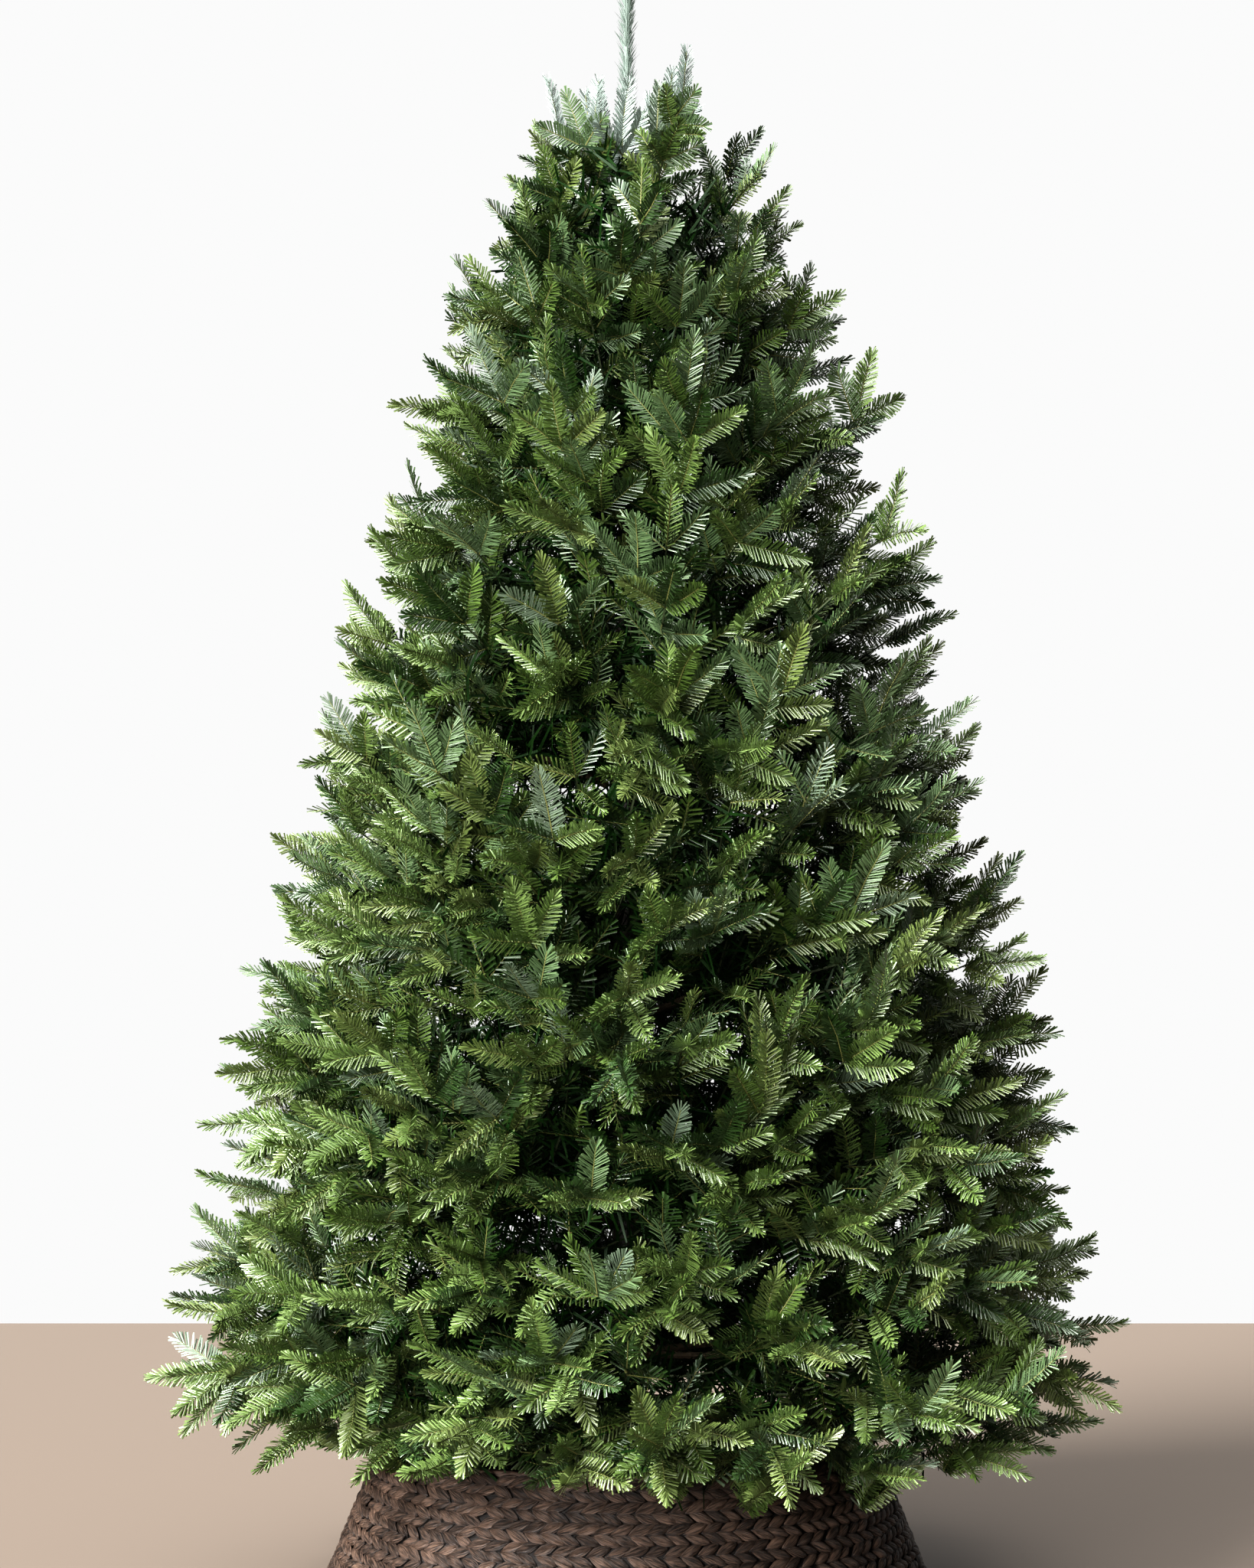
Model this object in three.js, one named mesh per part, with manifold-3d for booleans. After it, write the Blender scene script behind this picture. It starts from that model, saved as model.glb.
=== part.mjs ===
// An artificial fir for Christmas, 2.29 m tall: a steel pole on a four-legged stand inside a woven
// base ring, tiers of boughs hung on the pole, and a dense crown of needle sprays around it.
// Millimetres, +Z up, origin on the floor under the pole. Azimuths run from +X towards +Y.
import * as THREE from "three";
import { mergeVertices } from "three/addons/utils/BufferGeometryUtils.js";
import Module from "manifold-3d";

// The crown's outline: widest near its foot, curling in under that, narrowing by a power curve above
const TREE_HEIGHT = 2290;
const CROWN_RADIUS = 692;
const WIDEST_HEIGHT = 330;
const CROWN_TOP = 2215;
const CROWN_CURVE = 0.54;
const UNDERCURL = { depth: 260, share: 0.85 };
const CROWN_SHIFT = 22;

// How steeply a spray rises at its tip: [height, degrees], from the drooping foot to the top
const TIP_RISE = [
  [60, -58], [250, -16], [350, 4], [600, 18], [1000, 25], [1500, 33], [1800, 42], [2000, 56], [2300, 70],
];

// How a spray strays from its even place, in degrees, millimetres and shares of the crown's reach
const STRAY = { azimuth: 4, height: 34, shortfall: 0.09, rise: 12, roll: 70 };

// A spray as a toothed blade, in shares of its length: half width, half thickness, where it is
// thickest, and [place along, share of half width] for the teeth of one side
const SPRAY_HALF_WIDTH = 0.26;
const SPRAY_HALF_THICKNESS = 0.055;
const SPRAY_THICKEST = 0.45;
const SPRAY_TEETH = [[0.4, 1.0], [0.56, 0.4], [0.76, 0.72]];
const WIDEST_HALF_SPRAY = 54;
const SPRAY_SINK = 38;
const SHORTEST_SPRAY = 110;
const LONGEST_DROOPING_SPRAY = 220;
const DROOPING_ROOT = 290;

// Seeds of the sprays: one for each sector of a tier, counted on from the tier's own, and the top's
const SEEDS = { tier: 100, top: 900 };

// A mass has a lumpy core that fills this share of the crown's reach, cut clear of its neighbours
const CORE_SHARE = 0.74;
const CORE_SIDES = 24;
const CORE_GAP = 1.5;
const SPACE_MARGIN = 3;

// The core's lumps: how deep, and waves as [turns round the crown, millimetres of height for a radian]
const CORE_LUMP = { share: 0.025, waves: [[5, 40], [9, -25]] };
const RIM_TOLERANCE = 1;
const RIM_SEARCH_STEPS = 12;

// Sides of a limb, how far the stem between a core and its bough shows and is sunk, and the gap
// between parts that meet
const LIMB_SIDES = 6;
const STEM_SHOWN = 20;
const STEM_SUNK = 40;
const GAP = 0.3;

// A bough's radius where it hangs on the pole, and at its fork
const BOUGH_RADIUS = { root: 6, tip: 4.5 };
const STEM_TIP_RADIUS = 3.5;

// The pole: three sections, each narrower than the one below it, with a ring for each tier of boughs
const POLE_FOOT = 10.3;
const POLE_TOP = 1800;
const POLE_SECTIONS = [
  { top: 700, radius: 19 },
  { top: 1340, radius: 16 },
  { top: POLE_TOP, radius: 12.5 },
];
const POLE_SIDES = 10;
const RING = { height: 16, reach: 9 };

// Tiers from the foot up. A tier's space ends at a ceiling that starts at the pole and slopes upward;
// rows are [height of the spray tips, sprays in each sector].
const CROWN_FLOOR = { pole: 352, slope: -0.235 };
const TIERS = [
  {
    sectors: 6,
    turn: -75,
    fork: { radius: 215, height: 342 },
    boughRise: 5,
    rows: [[148, 4], [226, 4], [310, 4], [390, 4], [462, 4]],
    ceiling: { pole: 374, slope: 0.2 },
  },
  {
    sectors: 6,
    turn: -102,
    fork: { radius: 200, height: 546 },
    boughRise: 12,
    rows: [[552, 4], [632, 5], [712, 4], [790, 5]],
    ceiling: { pole: 610, slope: 0.39 },
  },
  {
    sectors: 5,
    turn: -80,
    fork: { radius: 170, height: 838 },
    boughRise: 17,
    rows: [[880, 4], [965, 5], [1045, 4], [1125, 5]],
    ceiling: { pole: 915, slope: 0.52 },
  },
  {
    sectors: 4,
    turn: -118,
    fork: { radius: 140, height: 1162 },
    boughRise: 22,
    rows: [[1220, 4], [1300, 4], [1380, 4], [1458, 4]],
    ceiling: { pole: 1246, slope: 0.65 },
  },
  {
    sectors: 3,
    turn: -150,
    fork: { radius: 100, height: 1494 },
    boughRise: 29,
    rows: [[1550, 4], [1630, 4], [1710, 4], [1788, 4]],
    ceiling: { pole: 1584, slope: 0.93 },
  },
];

// The top of the crown: its hollow core around the pole, rows of sprays, and the upright leader
const TOP_CORE = { inner: 60, roof: 2050, roofRadius: 22, over: 6, stem: 18, sides: 12 };
const TOP_STAGGER = 0.4;
const TOP_ROWS = [[1868, 8], [1936, 7], [2004, 6], [2068, 5], [2130, 3]];
const LEADER = { foot: 2020, halfWidth: 0.085, stem: 8 };

// The woven base ring: a tapering wall of braided rows, two sides to each panel
const BASE = { bottomRadius: 426, topRadius: 335, height: 215, wall: 11, rows: 8, bulge: 4, sides: 32 };
const BASE_CLEARANCE = 20;

// The stand: a hub that sockets the pole, and four sloping legs that end at the base ring's inside
const HUB = { radius: 26, height: 215, floor: 10, sides: 16, bore: 20, flange: 14, weld: 8 };
const LEG = { count: 4, turn: 45, width: 22, top: 195, side: 52, foot: 50, footHeight: 21, short: 1.4 };

// Points nearer than this are one point; a run steeper than this sine takes Y as its upright
const MERGE_DISTANCE = 1e-3;
const STEEP_RUN = 0.95;

const radians = THREE.MathUtils.degToRad;
const wasm = await Module();
wasm.setup();

// Finishes
const finishes = {
  pole: new THREE.MeshStandardMaterial({ color: 0x3d352c, roughness: 0.55, metalness: 0.3 }),
  bough: new THREE.MeshStandardMaterial({ color: 0x54412f, roughness: 0.8, metalness: 0 }),
  needles: new THREE.MeshStandardMaterial({ color: 0x2f4a24, roughness: 0.6, metalness: 0 }),
  topNeedles: new THREE.MeshStandardMaterial({ color: 0x6d8a72, roughness: 0.6, metalness: 0 }),
  stand: new THREE.MeshStandardMaterial({ color: 0x25302a, roughness: 0.5, metalness: 0.4 }),
  weave: new THREE.MeshStandardMaterial({ color: 0x4b382d, roughness: 0.75, metalness: 0 }),
};

// A repeatable stream of numbers from 0 to 1
function seededDraws(seed) {
  let state = Math.imul(seed, 2654435761) >>> 0;
  return () => {
    state = (Math.imul(state, 1664525) + 1013904223) >>> 0;
    return state / 4294967296;
  };
}

// The crown's reach from its axis at a height
function crownRadius(height) {
  const up = (height - WIDEST_HEIGHT) / (CROWN_TOP - WIDEST_HEIGHT);
  const under = (WIDEST_HEIGHT - height) / UNDERCURL.depth;
  const share = up > 0 ? (1 - up) ** CROWN_CURVE : Math.sqrt(1 - UNDERCURL.share * under * under);
  return CROWN_RADIUS * share;
}

function tipRise(height) {
  const next = TIP_RISE.findIndex(([stop]) => stop > height);
  const [below, riseBelow] = TIP_RISE[next - 1];
  const [above, riseAbove] = TIP_RISE[next];
  return riseBelow + ((riseAbove - riseBelow) * (height - below)) / (above - below);
}

function polar(radius, azimuth, height) {
  return new THREE.Vector3(radius * Math.cos(azimuth), radius * Math.sin(azimuth), height);
}

function heading(azimuth, rise) {
  return polar(Math.cos(rise), azimuth, Math.sin(rise));
}

// A spray runs from inside the core out to the crown's outline, at its row's height and its own azimuth
function sprayAt(draw, rowHeight, evenAzimuth) {
  const azimuth = evenAzimuth + radians(STRAY.azimuth) * (2 * draw() - 1);
  const height = rowHeight + STRAY.height * (draw() - 0.5);
  const reach = crownRadius(height) * (1 - STRAY.shortfall * draw()) + CROWN_SHIFT * Math.cos(azimuth);
  const rise = radians(tipRise(height) + STRAY.rise * (draw() - 0.5));
  const roll = radians(STRAY.roll) * (2 * draw() - 1);
  const shown = reach - CORE_SHARE * crownRadius(height);
  const sunk = (shown + SPRAY_SINK) / Math.cos(rise);
  const drop = rise < 0 ? (DROOPING_ROOT - height) / Math.sin(-rise) : 0;
  const length = Math.max(sunk, SHORTEST_SPRAY, Math.min(drop, LONGEST_DROOPING_SPRAY));
  const tip = polar(reach, azimuth, height);
  return { root: tip.clone().addScaledVector(heading(azimuth, rise), -length), tip, roll };
}

function spraysOfSector(tier, number, sector) {
  const draw = seededDraws(SEEDS.tier * (number + 1) + sector);
  const width = radians(360 / tier.sectors);
  const start = radians(tier.turn) + sector * width;
  const azimuthOf = (column, count) => start + (width * (column + 0.5)) / count;
  return tier.rows.flatMap(([height, count]) =>
    Array.from({ length: count }, (_, column) => sprayAt(draw, height, azimuthOf(column, count))),
  );
}

// Solids from closed lists of points and triangles
function solidOfArrays(vertProperties, triVerts) {
  return new wasm.Manifold(new wasm.Mesh({ numProp: 3, vertProperties, triVerts }));
}

function solidOfMesh(points, triangles) {
  const numbers = points.flatMap((point) => point.toArray());
  return solidOfArrays(new Float32Array(numbers), new Uint32Array(triangles));
}

function mergedGeometry(geometry) {
  geometry.deleteAttribute("normal");
  geometry.deleteAttribute("uv");
  return mergeVertices(geometry, MERGE_DISTANCE);
}

function solidOfGeometry(geometry) {
  const { attributes, index } = mergedGeometry(geometry);
  return solidOfArrays(new Float32Array(attributes.position.array), new Uint32Array(index.array));
}

function geometryOfSolid(solid) {
  const mesh = solid.getMesh();
  const geometry = new THREE.BufferGeometry();
  geometry.setAttribute("position", new THREE.BufferAttribute(new Float32Array(mesh.vertProperties), 3));
  geometry.setIndex(new THREE.BufferAttribute(new Uint32Array(mesh.triVerts), 1));
  geometry.computeVertexNormals();
  return geometry;
}

// One closed body: the largest shell of the fused solids, its inner hollows filled
function fuse(solids) {
  const shells = solids.reduce((whole, next) => whole.add(next)).decompose();
  return shells.reduce((largest, next) => (next.volume() > largest.volume() ? next : largest));
}

// Two directions across a run, the second as nearly upright as it can be, turned by a roll
function crossDirections(along, roll) {
  const upright = Math.abs(along.z) > STEEP_RUN ? new THREE.Vector3(0, 1, 0) : new THREE.Vector3(0, 0, 1);
  const across = new THREE.Vector3().crossVectors(along, upright).normalize().applyAxisAngle(along, roll);
  return [across, new THREE.Vector3().crossVectors(across, along).normalize()];
}

// A tapering limb from one point to another, closed by flat ends
function limbSolid(start, end, startRadius, endRadius) {
  const sides = LIMB_SIDES;
  const [across, up] = crossDirections(end.clone().sub(start).normalize(), 0);
  const ringAt = (point, radius) =>
    Array.from({ length: sides }, (_, k) => {
      const turn = (2 * Math.PI * k) / sides;
      const sideways = across.clone().multiplyScalar(radius * Math.cos(turn));
      return point.clone().add(sideways).addScaledVector(up, radius * Math.sin(turn));
    });
  const triangles = [];
  for (let k = 0; k < sides; k++) {
    const next = (k + 1) % sides;
    triangles.push(k, k + sides, next, next, k + sides, next + sides);
  }
  for (let k = 1; k + 1 < sides; k++) {
    triangles.push(0, k, k + 1, sides, sides + k + 1, sides + k);
  }
  return solidOfMesh([...ringAt(start, startRadius), ...ringAt(end, endRadius)], triangles);
}

// A spray of needles as a toothed blade: its outline, then a ridge point above and one below it
function sprayPoints({ root, tip, roll }, halfWidthShare = SPRAY_HALF_WIDTH) {
  const length = root.distanceTo(tip);
  const along = tip.clone().sub(root).normalize();
  const [across, up] = crossDirections(along, roll);
  const halfWidth = Math.min(halfWidthShare * length, WIDEST_HALF_SPRAY);
  const place = (x, y, z) =>
    root
      .clone()
      .addScaledVector(along, x * length)
      .addScaledVector(across, y * halfWidth)
      .addScaledVector(up, z * length);
  const left = SPRAY_TEETH.map(([x, y]) => place(x, -y, 0));
  const right = SPRAY_TEETH.map(([x, y]) => place(x, y, 0)).reverse();
  const ridges = [SPRAY_HALF_THICKNESS, -SPRAY_HALF_THICKNESS].map((z) => place(SPRAY_THICKEST, 0, z));
  return { outline: [root, ...left, tip, ...right], ridges };
}

function spraySolid({ outline, ridges }) {
  const count = outline.length;
  const triangles = [];
  for (let i = 0; i < count; i++) {
    const next = (i + 1) % count;
    triangles.push(next, i, count, i, next, count + 1);
  }
  return solidOfMesh([...outline, ...ridges], triangles);
}

// The space of a mass: between its sector's two planes, its tier's floor and its tier's ceiling
function floorOf(number) {
  return number === 0 ? CROWN_FLOOR : TIERS[number - 1].ceiling;
}

function limitAt(limit, radius) {
  return limit.pole + limit.slope * radius;
}

function inSector(point, middle, halfSector) {
  const away = Math.atan2(point.y, point.x) - middle + Math.PI;
  const turn = Math.abs(THREE.MathUtils.euclideanModulo(away, 2 * Math.PI) - Math.PI);
  return turn < halfSector && Math.hypot(point.x, point.y) * Math.sin(halfSector - turn) > SPACE_MARGIN;
}

function inTier(point, number) {
  const radius = Math.hypot(point.x, point.y);
  const ceiling = number === TIERS.length ? Infinity : limitAt(TIERS[number].ceiling, radius);
  const floor = number === 0 ? -Infinity : limitAt(floorOf(number), radius);
  return point.z < ceiling - SPACE_MARGIN && point.z > floor + SPACE_MARGIN;
}

// A spray that hangs low stays outside the base ring
function clearOfBase(point) {
  const outside = baseWallAt(point.z / BASE.height) + BASE_CLEARANCE;
  return point.z > BASE.height + BASE_CLEARANCE || Math.hypot(point.x, point.y) > outside;
}

function spraysInside(sprays, inSpace) {
  const blades = sprays.map((spray) => sprayPoints(spray));
  return blades.filter(({ outline }) => outline.every(inSpace)).map(spraySolid);
}

// The core of a whole tier, turned about the axis: inner wall, floor, outer wall and ceiling
function coreRim(limit, offset) {
  let height = limit.pole;
  for (let step = 0; step < RIM_SEARCH_STEPS; step++) {
    height = limitAt(limit, CORE_SHARE * crownRadius(height)) + offset;
  }
  return [CORE_SHARE * crownRadius(height), height];
}

function lumpAt(azimuth, height) {
  return CORE_LUMP.waves.reduce((sum, [turns, rise]) => sum + Math.sin(turns * azimuth + height / rise), 0);
}

// Lumps push the outer wall in and out, each rim along its own limit
function lumpy(geometry, rims) {
  const merged = mergedGeometry(geometry);
  const positions = merged.attributes.position;
  for (let i = 0; i < positions.count; i++) {
    const point = new THREE.Vector3().fromBufferAttribute(positions, i);
    const radius = Math.hypot(point.x, point.y);
    const rim = rims.find(({ at }) => Math.hypot(at[0] - radius, at[1] - point.z) < RIM_TOLERANCE);
    if (rim) {
      const azimuth = Math.atan2(point.y, point.x);
      const shift = CORE_LUMP.share * radius * lumpAt(azimuth, point.z);
      positions.setXYZ(i, ...polar(radius + shift, azimuth, point.z + rim.slope * shift).toArray());
    }
  }
  return merged;
}

function tierCore(number) {
  const tier = TIERS[number];
  const inner = tier.fork.radius + STEM_SHOWN;
  const lowRim = coreRim(floorOf(number), CORE_GAP);
  const highRim = coreRim(tier.ceiling, -CORE_GAP);
  const middleHeight = (lowRim[1] + highRim[1]) / 2;
  const waist = [CORE_SHARE * crownRadius(middleHeight), middleHeight];
  const innerLow = [inner, limitAt(floorOf(number), inner) + CORE_GAP];
  const innerHigh = [inner, limitAt(tier.ceiling, inner) - CORE_GAP];
  const core = latheUpright([innerLow, lowRim, waist, highRim, innerHigh, innerLow], CORE_SIDES);
  const rims = [
    { at: lowRim, slope: floorOf(number).slope },
    { at: waist, slope: 0 },
    { at: highRim, slope: tier.ceiling.slope },
  ];
  return solidOfGeometry(lumpy(core, rims));
}

// A wedge that stands between a sector's two planes
function sectorWedge(middle, halfSector) {
  const apex = polar(SPACE_MARGIN / Math.sin(halfSector), middle, 0);
  const reach = 2 * TREE_HEIGHT;
  const corners = [-1, 1].map((side) => polar(reach, middle + side * halfSector, 0).add(apex));
  const shape = new THREE.Shape([apex, ...corners].map(({ x, y }) => new THREE.Vector2(x, y)));
  return solidOfGeometry(new THREE.ExtrudeGeometry(shape, { depth: TREE_HEIGHT, bevelEnabled: false }));
}

// One mass of the crown: a stem from its bough's tip into a core, and sprays that stand out of the core
function massOfSector(tier, number, sector, wholeCore) {
  const halfSector = radians(180 / tier.sectors);
  const middle = radians(tier.turn) + (2 * sector + 1) * halfSector;
  const fork = polar(tier.fork.radius, middle, tier.fork.height);
  const out = heading(middle, radians(tier.boughRise));
  const stemStart = fork.clone().addScaledVector(out, GAP);
  const stemEnd = fork.clone().addScaledVector(out, STEM_SHOWN + STEM_SUNK);
  const stem = limbSolid(stemStart, stemEnd, BOUGH_RADIUS.tip, STEM_TIP_RADIUS);
  const core = wholeCore.intersect(sectorWedge(middle, halfSector));
  const inWedge = (point) => inSector(point, middle, halfSector);
  const inSpace = (point) => inWedge(point) && inTier(point, number) && clearOfBase(point);
  return fuse([core, stem, ...spraysInside(spraysOfSector(tier, number, sector), inSpace)]);
}

// The bough that carries a mass, from its tier's ring on the pole to its fork
function boughOfSector(tier, sector) {
  const middle = radians(tier.turn) + ((sector + 0.5) * 2 * Math.PI) / tier.sectors;
  const rise = radians(tier.boughRise);
  const fork = polar(tier.fork.radius, middle, tier.fork.height);
  const rootRadius = ringFaceAt(tier, middle) + GAP + BOUGH_RADIUS.root * Math.sin(rise);
  const length = (tier.fork.radius - rootRadius) / Math.cos(rise);
  const root = fork.clone().addScaledVector(heading(middle, rise), -length);
  return limbSolid(root, fork, BOUGH_RADIUS.root, BOUGH_RADIUS.tip);
}

// The pole
function ringRadius(tier) {
  return POLE_SECTIONS.find(({ top }) => tier.fork.height < top).radius + RING.reach;
}

// How far the ring's flats and corners stand out under a bough's end
function ringFaceAt(tier, azimuth) {
  const side = (2 * Math.PI) / POLE_SIDES;
  const offFlat = Math.abs(THREE.MathUtils.euclideanModulo(azimuth + Math.PI / 2, side) - side / 2);
  const corner = ringRadius(tier) * Math.cos(side / 2 - offFlat);
  const flat = (ringRadius(tier) * Math.cos(side / 2)) / Math.cos(offFlat);
  return Math.min(corner, flat + BOUGH_RADIUS.root * Math.tan(offFlat));
}

function boughRootHeight(tier) {
  return tier.fork.height - (tier.fork.radius - ringRadius(tier)) * Math.tan(radians(tier.boughRise));
}

function poleGeometry() {
  const profile = [[0, POLE_FOOT]];
  let foot = POLE_FOOT;
  for (const { top, radius } of POLE_SECTIONS) {
    profile.push([radius, foot]);
    const heights = TIERS.map(boughRootHeight).filter((height) => height > foot && height < top);
    for (const height of heights) {
      const [low, high] = [height - RING.height / 2, height + RING.height / 2];
      const outside = radius + RING.reach;
      profile.push([radius, low], [outside, low], [outside, high], [radius, high]);
    }
    profile.push([radius, top]);
    foot = top;
  }
  profile.push([0, POLE_TOP]);
  return latheUpright(profile, POLE_SIDES);
}

function latheUpright(profile, sides) {
  const points = profile.map(([radius, height]) => new THREE.Vector2(radius, height));
  return new THREE.LatheGeometry(points, sides).rotateX(Math.PI / 2);
}

// The top of the crown: a core around and above the pole's end, rows of sprays, and the leader
function topCore() {
  const floor = floorOf(TIERS.length);
  const { inner, roof, roofRadius, over } = TOP_CORE;
  const lowRim = coreRim(floor, CORE_GAP);
  const middleHeight = (lowRim[1] + roof) / 2;
  const profile = [
    [0, POLE_TOP + over],
    [inner, POLE_TOP + over],
    [inner, limitAt(floor, inner) + CORE_GAP],
    lowRim,
    [CORE_SHARE * crownRadius(middleHeight), middleHeight],
    [roofRadius, roof],
    [0, roof],
  ];
  return solidOfGeometry(latheUpright(profile, TOP_CORE.sides));
}

function topSprays() {
  const draw = seededDraws(SEEDS.top);
  const azimuthOf = (row, column, count) => (2 * Math.PI * (column + TOP_STAGGER * row)) / count;
  return TOP_ROWS.flatMap(([height, count], row) =>
    Array.from({ length: count }, (_, column) => sprayAt(draw, height, azimuthOf(row, column, count))),
  );
}

function topMass() {
  const axisAt = (height) => new THREE.Vector3(0, 0, height);
  const stemTop = axisAt(POLE_TOP + TOP_CORE.stem);
  const stem = limbSolid(axisAt(POLE_TOP + GAP), stemTop, LEADER.stem, LEADER.stem);
  const [root, tip] = [axisAt(LEADER.foot), axisAt(TREE_HEIGHT)];
  const leader = [0, Math.PI / 2].map((roll) =>
    spraySolid(sprayPoints({ root, tip, roll }, LEADER.halfWidth)),
  );
  const sprays = spraysInside(topSprays(), (point) => inTier(point, TIERS.length));
  return fuse([topCore(), stem, ...leader, ...sprays]);
}

// The stand's hub: a socket with a closed foot
function hubGeometry() {
  const { radius, height, floor, bore, sides, flange, weld } = HUB;
  const foot = [[0, 0], [radius + flange, 0], [radius + flange, floor], [radius, floor + weld]];
  const socket = [[radius, height], [bore, height], [bore, floor], [0, floor]];
  return latheUpright([...foot, ...socket], sides);
}

// A leg: a sloping bar with a flat foot, one end against the hub and the other against the base ring
function legGeometry() {
  const inner = HUB.radius + GAP;
  const reachAt = (height) => baseWallAt(height / BASE.height) - BASE.wall - LEG.short;
  const shape = new THREE.Shape();
  shape.moveTo(inner, LEG.top);
  shape.lineTo(inner, LEG.top - LEG.side);
  shape.lineTo(reachAt(0) - LEG.foot, 0);
  shape.lineTo(reachAt(0), 0);
  shape.lineTo(reachAt(LEG.footHeight), LEG.footHeight);
  shape.closePath();
  const bar = new THREE.ExtrudeGeometry(shape, { depth: LEG.width, bevelEnabled: false });
  return bar.translate(0, 0, -LEG.width / 2).rotateX(Math.PI / 2);
}

// The woven base ring: braided rows bulge out of a tapering wall
function baseWallAt(share) {
  return BASE.bottomRadius + (BASE.topRadius - BASE.bottomRadius) * share;
}

function baseGeometry() {
  const { bottomRadius, topRadius, height, wall, rows, bulge, sides } = BASE;
  const outer = [[bottomRadius, 0]];
  for (let row = 0; row < rows; row++) {
    const [low, high] = [row / rows, (row + 1) / rows];
    const middle = (low + high) / 2;
    outer.push([baseWallAt(middle) + bulge, height * middle], [baseWallAt(high), height * high]);
  }
  const inner = [[topRadius - wall, height], [bottomRadius - wall, 0], [bottomRadius, 0]];
  return latheUpright([...outer, ...inner], sides);
}

function namedMesh(name, geometry, finish) {
  const mesh = new THREE.Mesh(geometry, finish);
  mesh.name = name;
  return mesh;
}

const tree = new THREE.Group();

tree.add(namedMesh("trunk_pole", poleGeometry(), finishes.pole));
tree.add(namedMesh("stand_hub", hubGeometry(), finishes.stand));
for (let leg = 0; leg < LEG.count; leg++) {
  const mesh = namedMesh(`stand_leg_${leg + 1}`, legGeometry(), finishes.stand);
  mesh.rotation.z = radians(LEG.turn + (360 * leg) / LEG.count);
  tree.add(mesh);
}
tree.add(namedMesh("woven_base", baseGeometry(), finishes.weave));

TIERS.forEach((tier, number) => {
  const wholeCore = tierCore(number);
  for (let sector = 0; sector < tier.sectors; sector++) {
    const label = `tier${number + 1}_${sector + 1}`;
    const bough = boughOfSector(tier, sector);
    const mass = massOfSector(tier, number, sector, wholeCore);
    tree.add(namedMesh(`bough_${label}`, geometryOfSolid(bough), finishes.bough));
    tree.add(namedMesh(`foliage_${label}`, geometryOfSolid(mass), finishes.needles));
  }
});
tree.add(namedMesh("foliage_top", geometryOfSolid(topMass()), finishes.topNeedles));

export default tree;
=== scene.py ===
# A full artificial fir for Christmas, undecorated: a steel pole in a legged stand, a woven ring round
# the foot, tiers of wire boughs and a dense crown of moulded needle sprays. Metres, +Z up.
from math import acos, atan2, cos, degrees, hypot, pi, radians, sin, sqrt, tan, tau

import bpy
import numpy as np
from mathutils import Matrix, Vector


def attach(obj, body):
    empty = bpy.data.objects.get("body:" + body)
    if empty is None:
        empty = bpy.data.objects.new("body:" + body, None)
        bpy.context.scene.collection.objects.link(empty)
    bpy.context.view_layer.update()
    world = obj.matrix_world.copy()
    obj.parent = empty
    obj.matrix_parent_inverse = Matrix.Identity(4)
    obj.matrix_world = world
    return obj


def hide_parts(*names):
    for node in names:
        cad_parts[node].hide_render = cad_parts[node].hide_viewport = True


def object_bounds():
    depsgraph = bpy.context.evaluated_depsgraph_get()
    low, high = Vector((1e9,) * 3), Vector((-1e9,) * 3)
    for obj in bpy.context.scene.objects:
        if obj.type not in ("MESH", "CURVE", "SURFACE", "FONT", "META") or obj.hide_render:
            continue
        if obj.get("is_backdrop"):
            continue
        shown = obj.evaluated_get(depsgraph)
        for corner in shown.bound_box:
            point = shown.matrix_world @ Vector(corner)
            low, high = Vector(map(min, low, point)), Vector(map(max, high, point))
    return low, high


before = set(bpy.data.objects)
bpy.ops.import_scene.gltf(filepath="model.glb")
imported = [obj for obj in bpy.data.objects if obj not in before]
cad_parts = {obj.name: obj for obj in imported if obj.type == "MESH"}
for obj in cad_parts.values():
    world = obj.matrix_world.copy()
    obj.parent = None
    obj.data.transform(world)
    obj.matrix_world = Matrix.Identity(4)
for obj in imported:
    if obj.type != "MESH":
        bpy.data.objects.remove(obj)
size_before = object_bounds()


# Pole.
# A steel tube in three push-fit sections, each slimmer than the one below it, painted dark brown.
# A bracket ring is pressed on for each tier, and the boughs hook into it.
POLE_FOOT = 0.0103
POLE_TOP = 1.8
POLE_SECTIONS = [(0.7, 0.019), (1.34, 0.016), (POLE_TOP, 0.0125)]
POLE_SIDES = 40
NEAR_AXIS = 0.0002
EDGE = 0.001
RING_HEIGHT = 0.016
RING_REACH = 0.009
FORKS = [(0.215, 0.342), (0.2, 0.546), (0.17, 0.838), (0.14, 1.162), (0.1, 1.494)]
BOUGH_RISES = [5, 12, 17, 22, 29]
POLE_DARK = (0.021, 0.016, 0.012)
POLE_LIGHT = (0.039, 0.031, 0.024)
SHEEN_SPREAD = 0.3


def added(name, data):
    thing = bpy.data.objects.new(name, data)
    bpy.context.scene.collection.objects.link(thing)
    return thing


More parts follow.
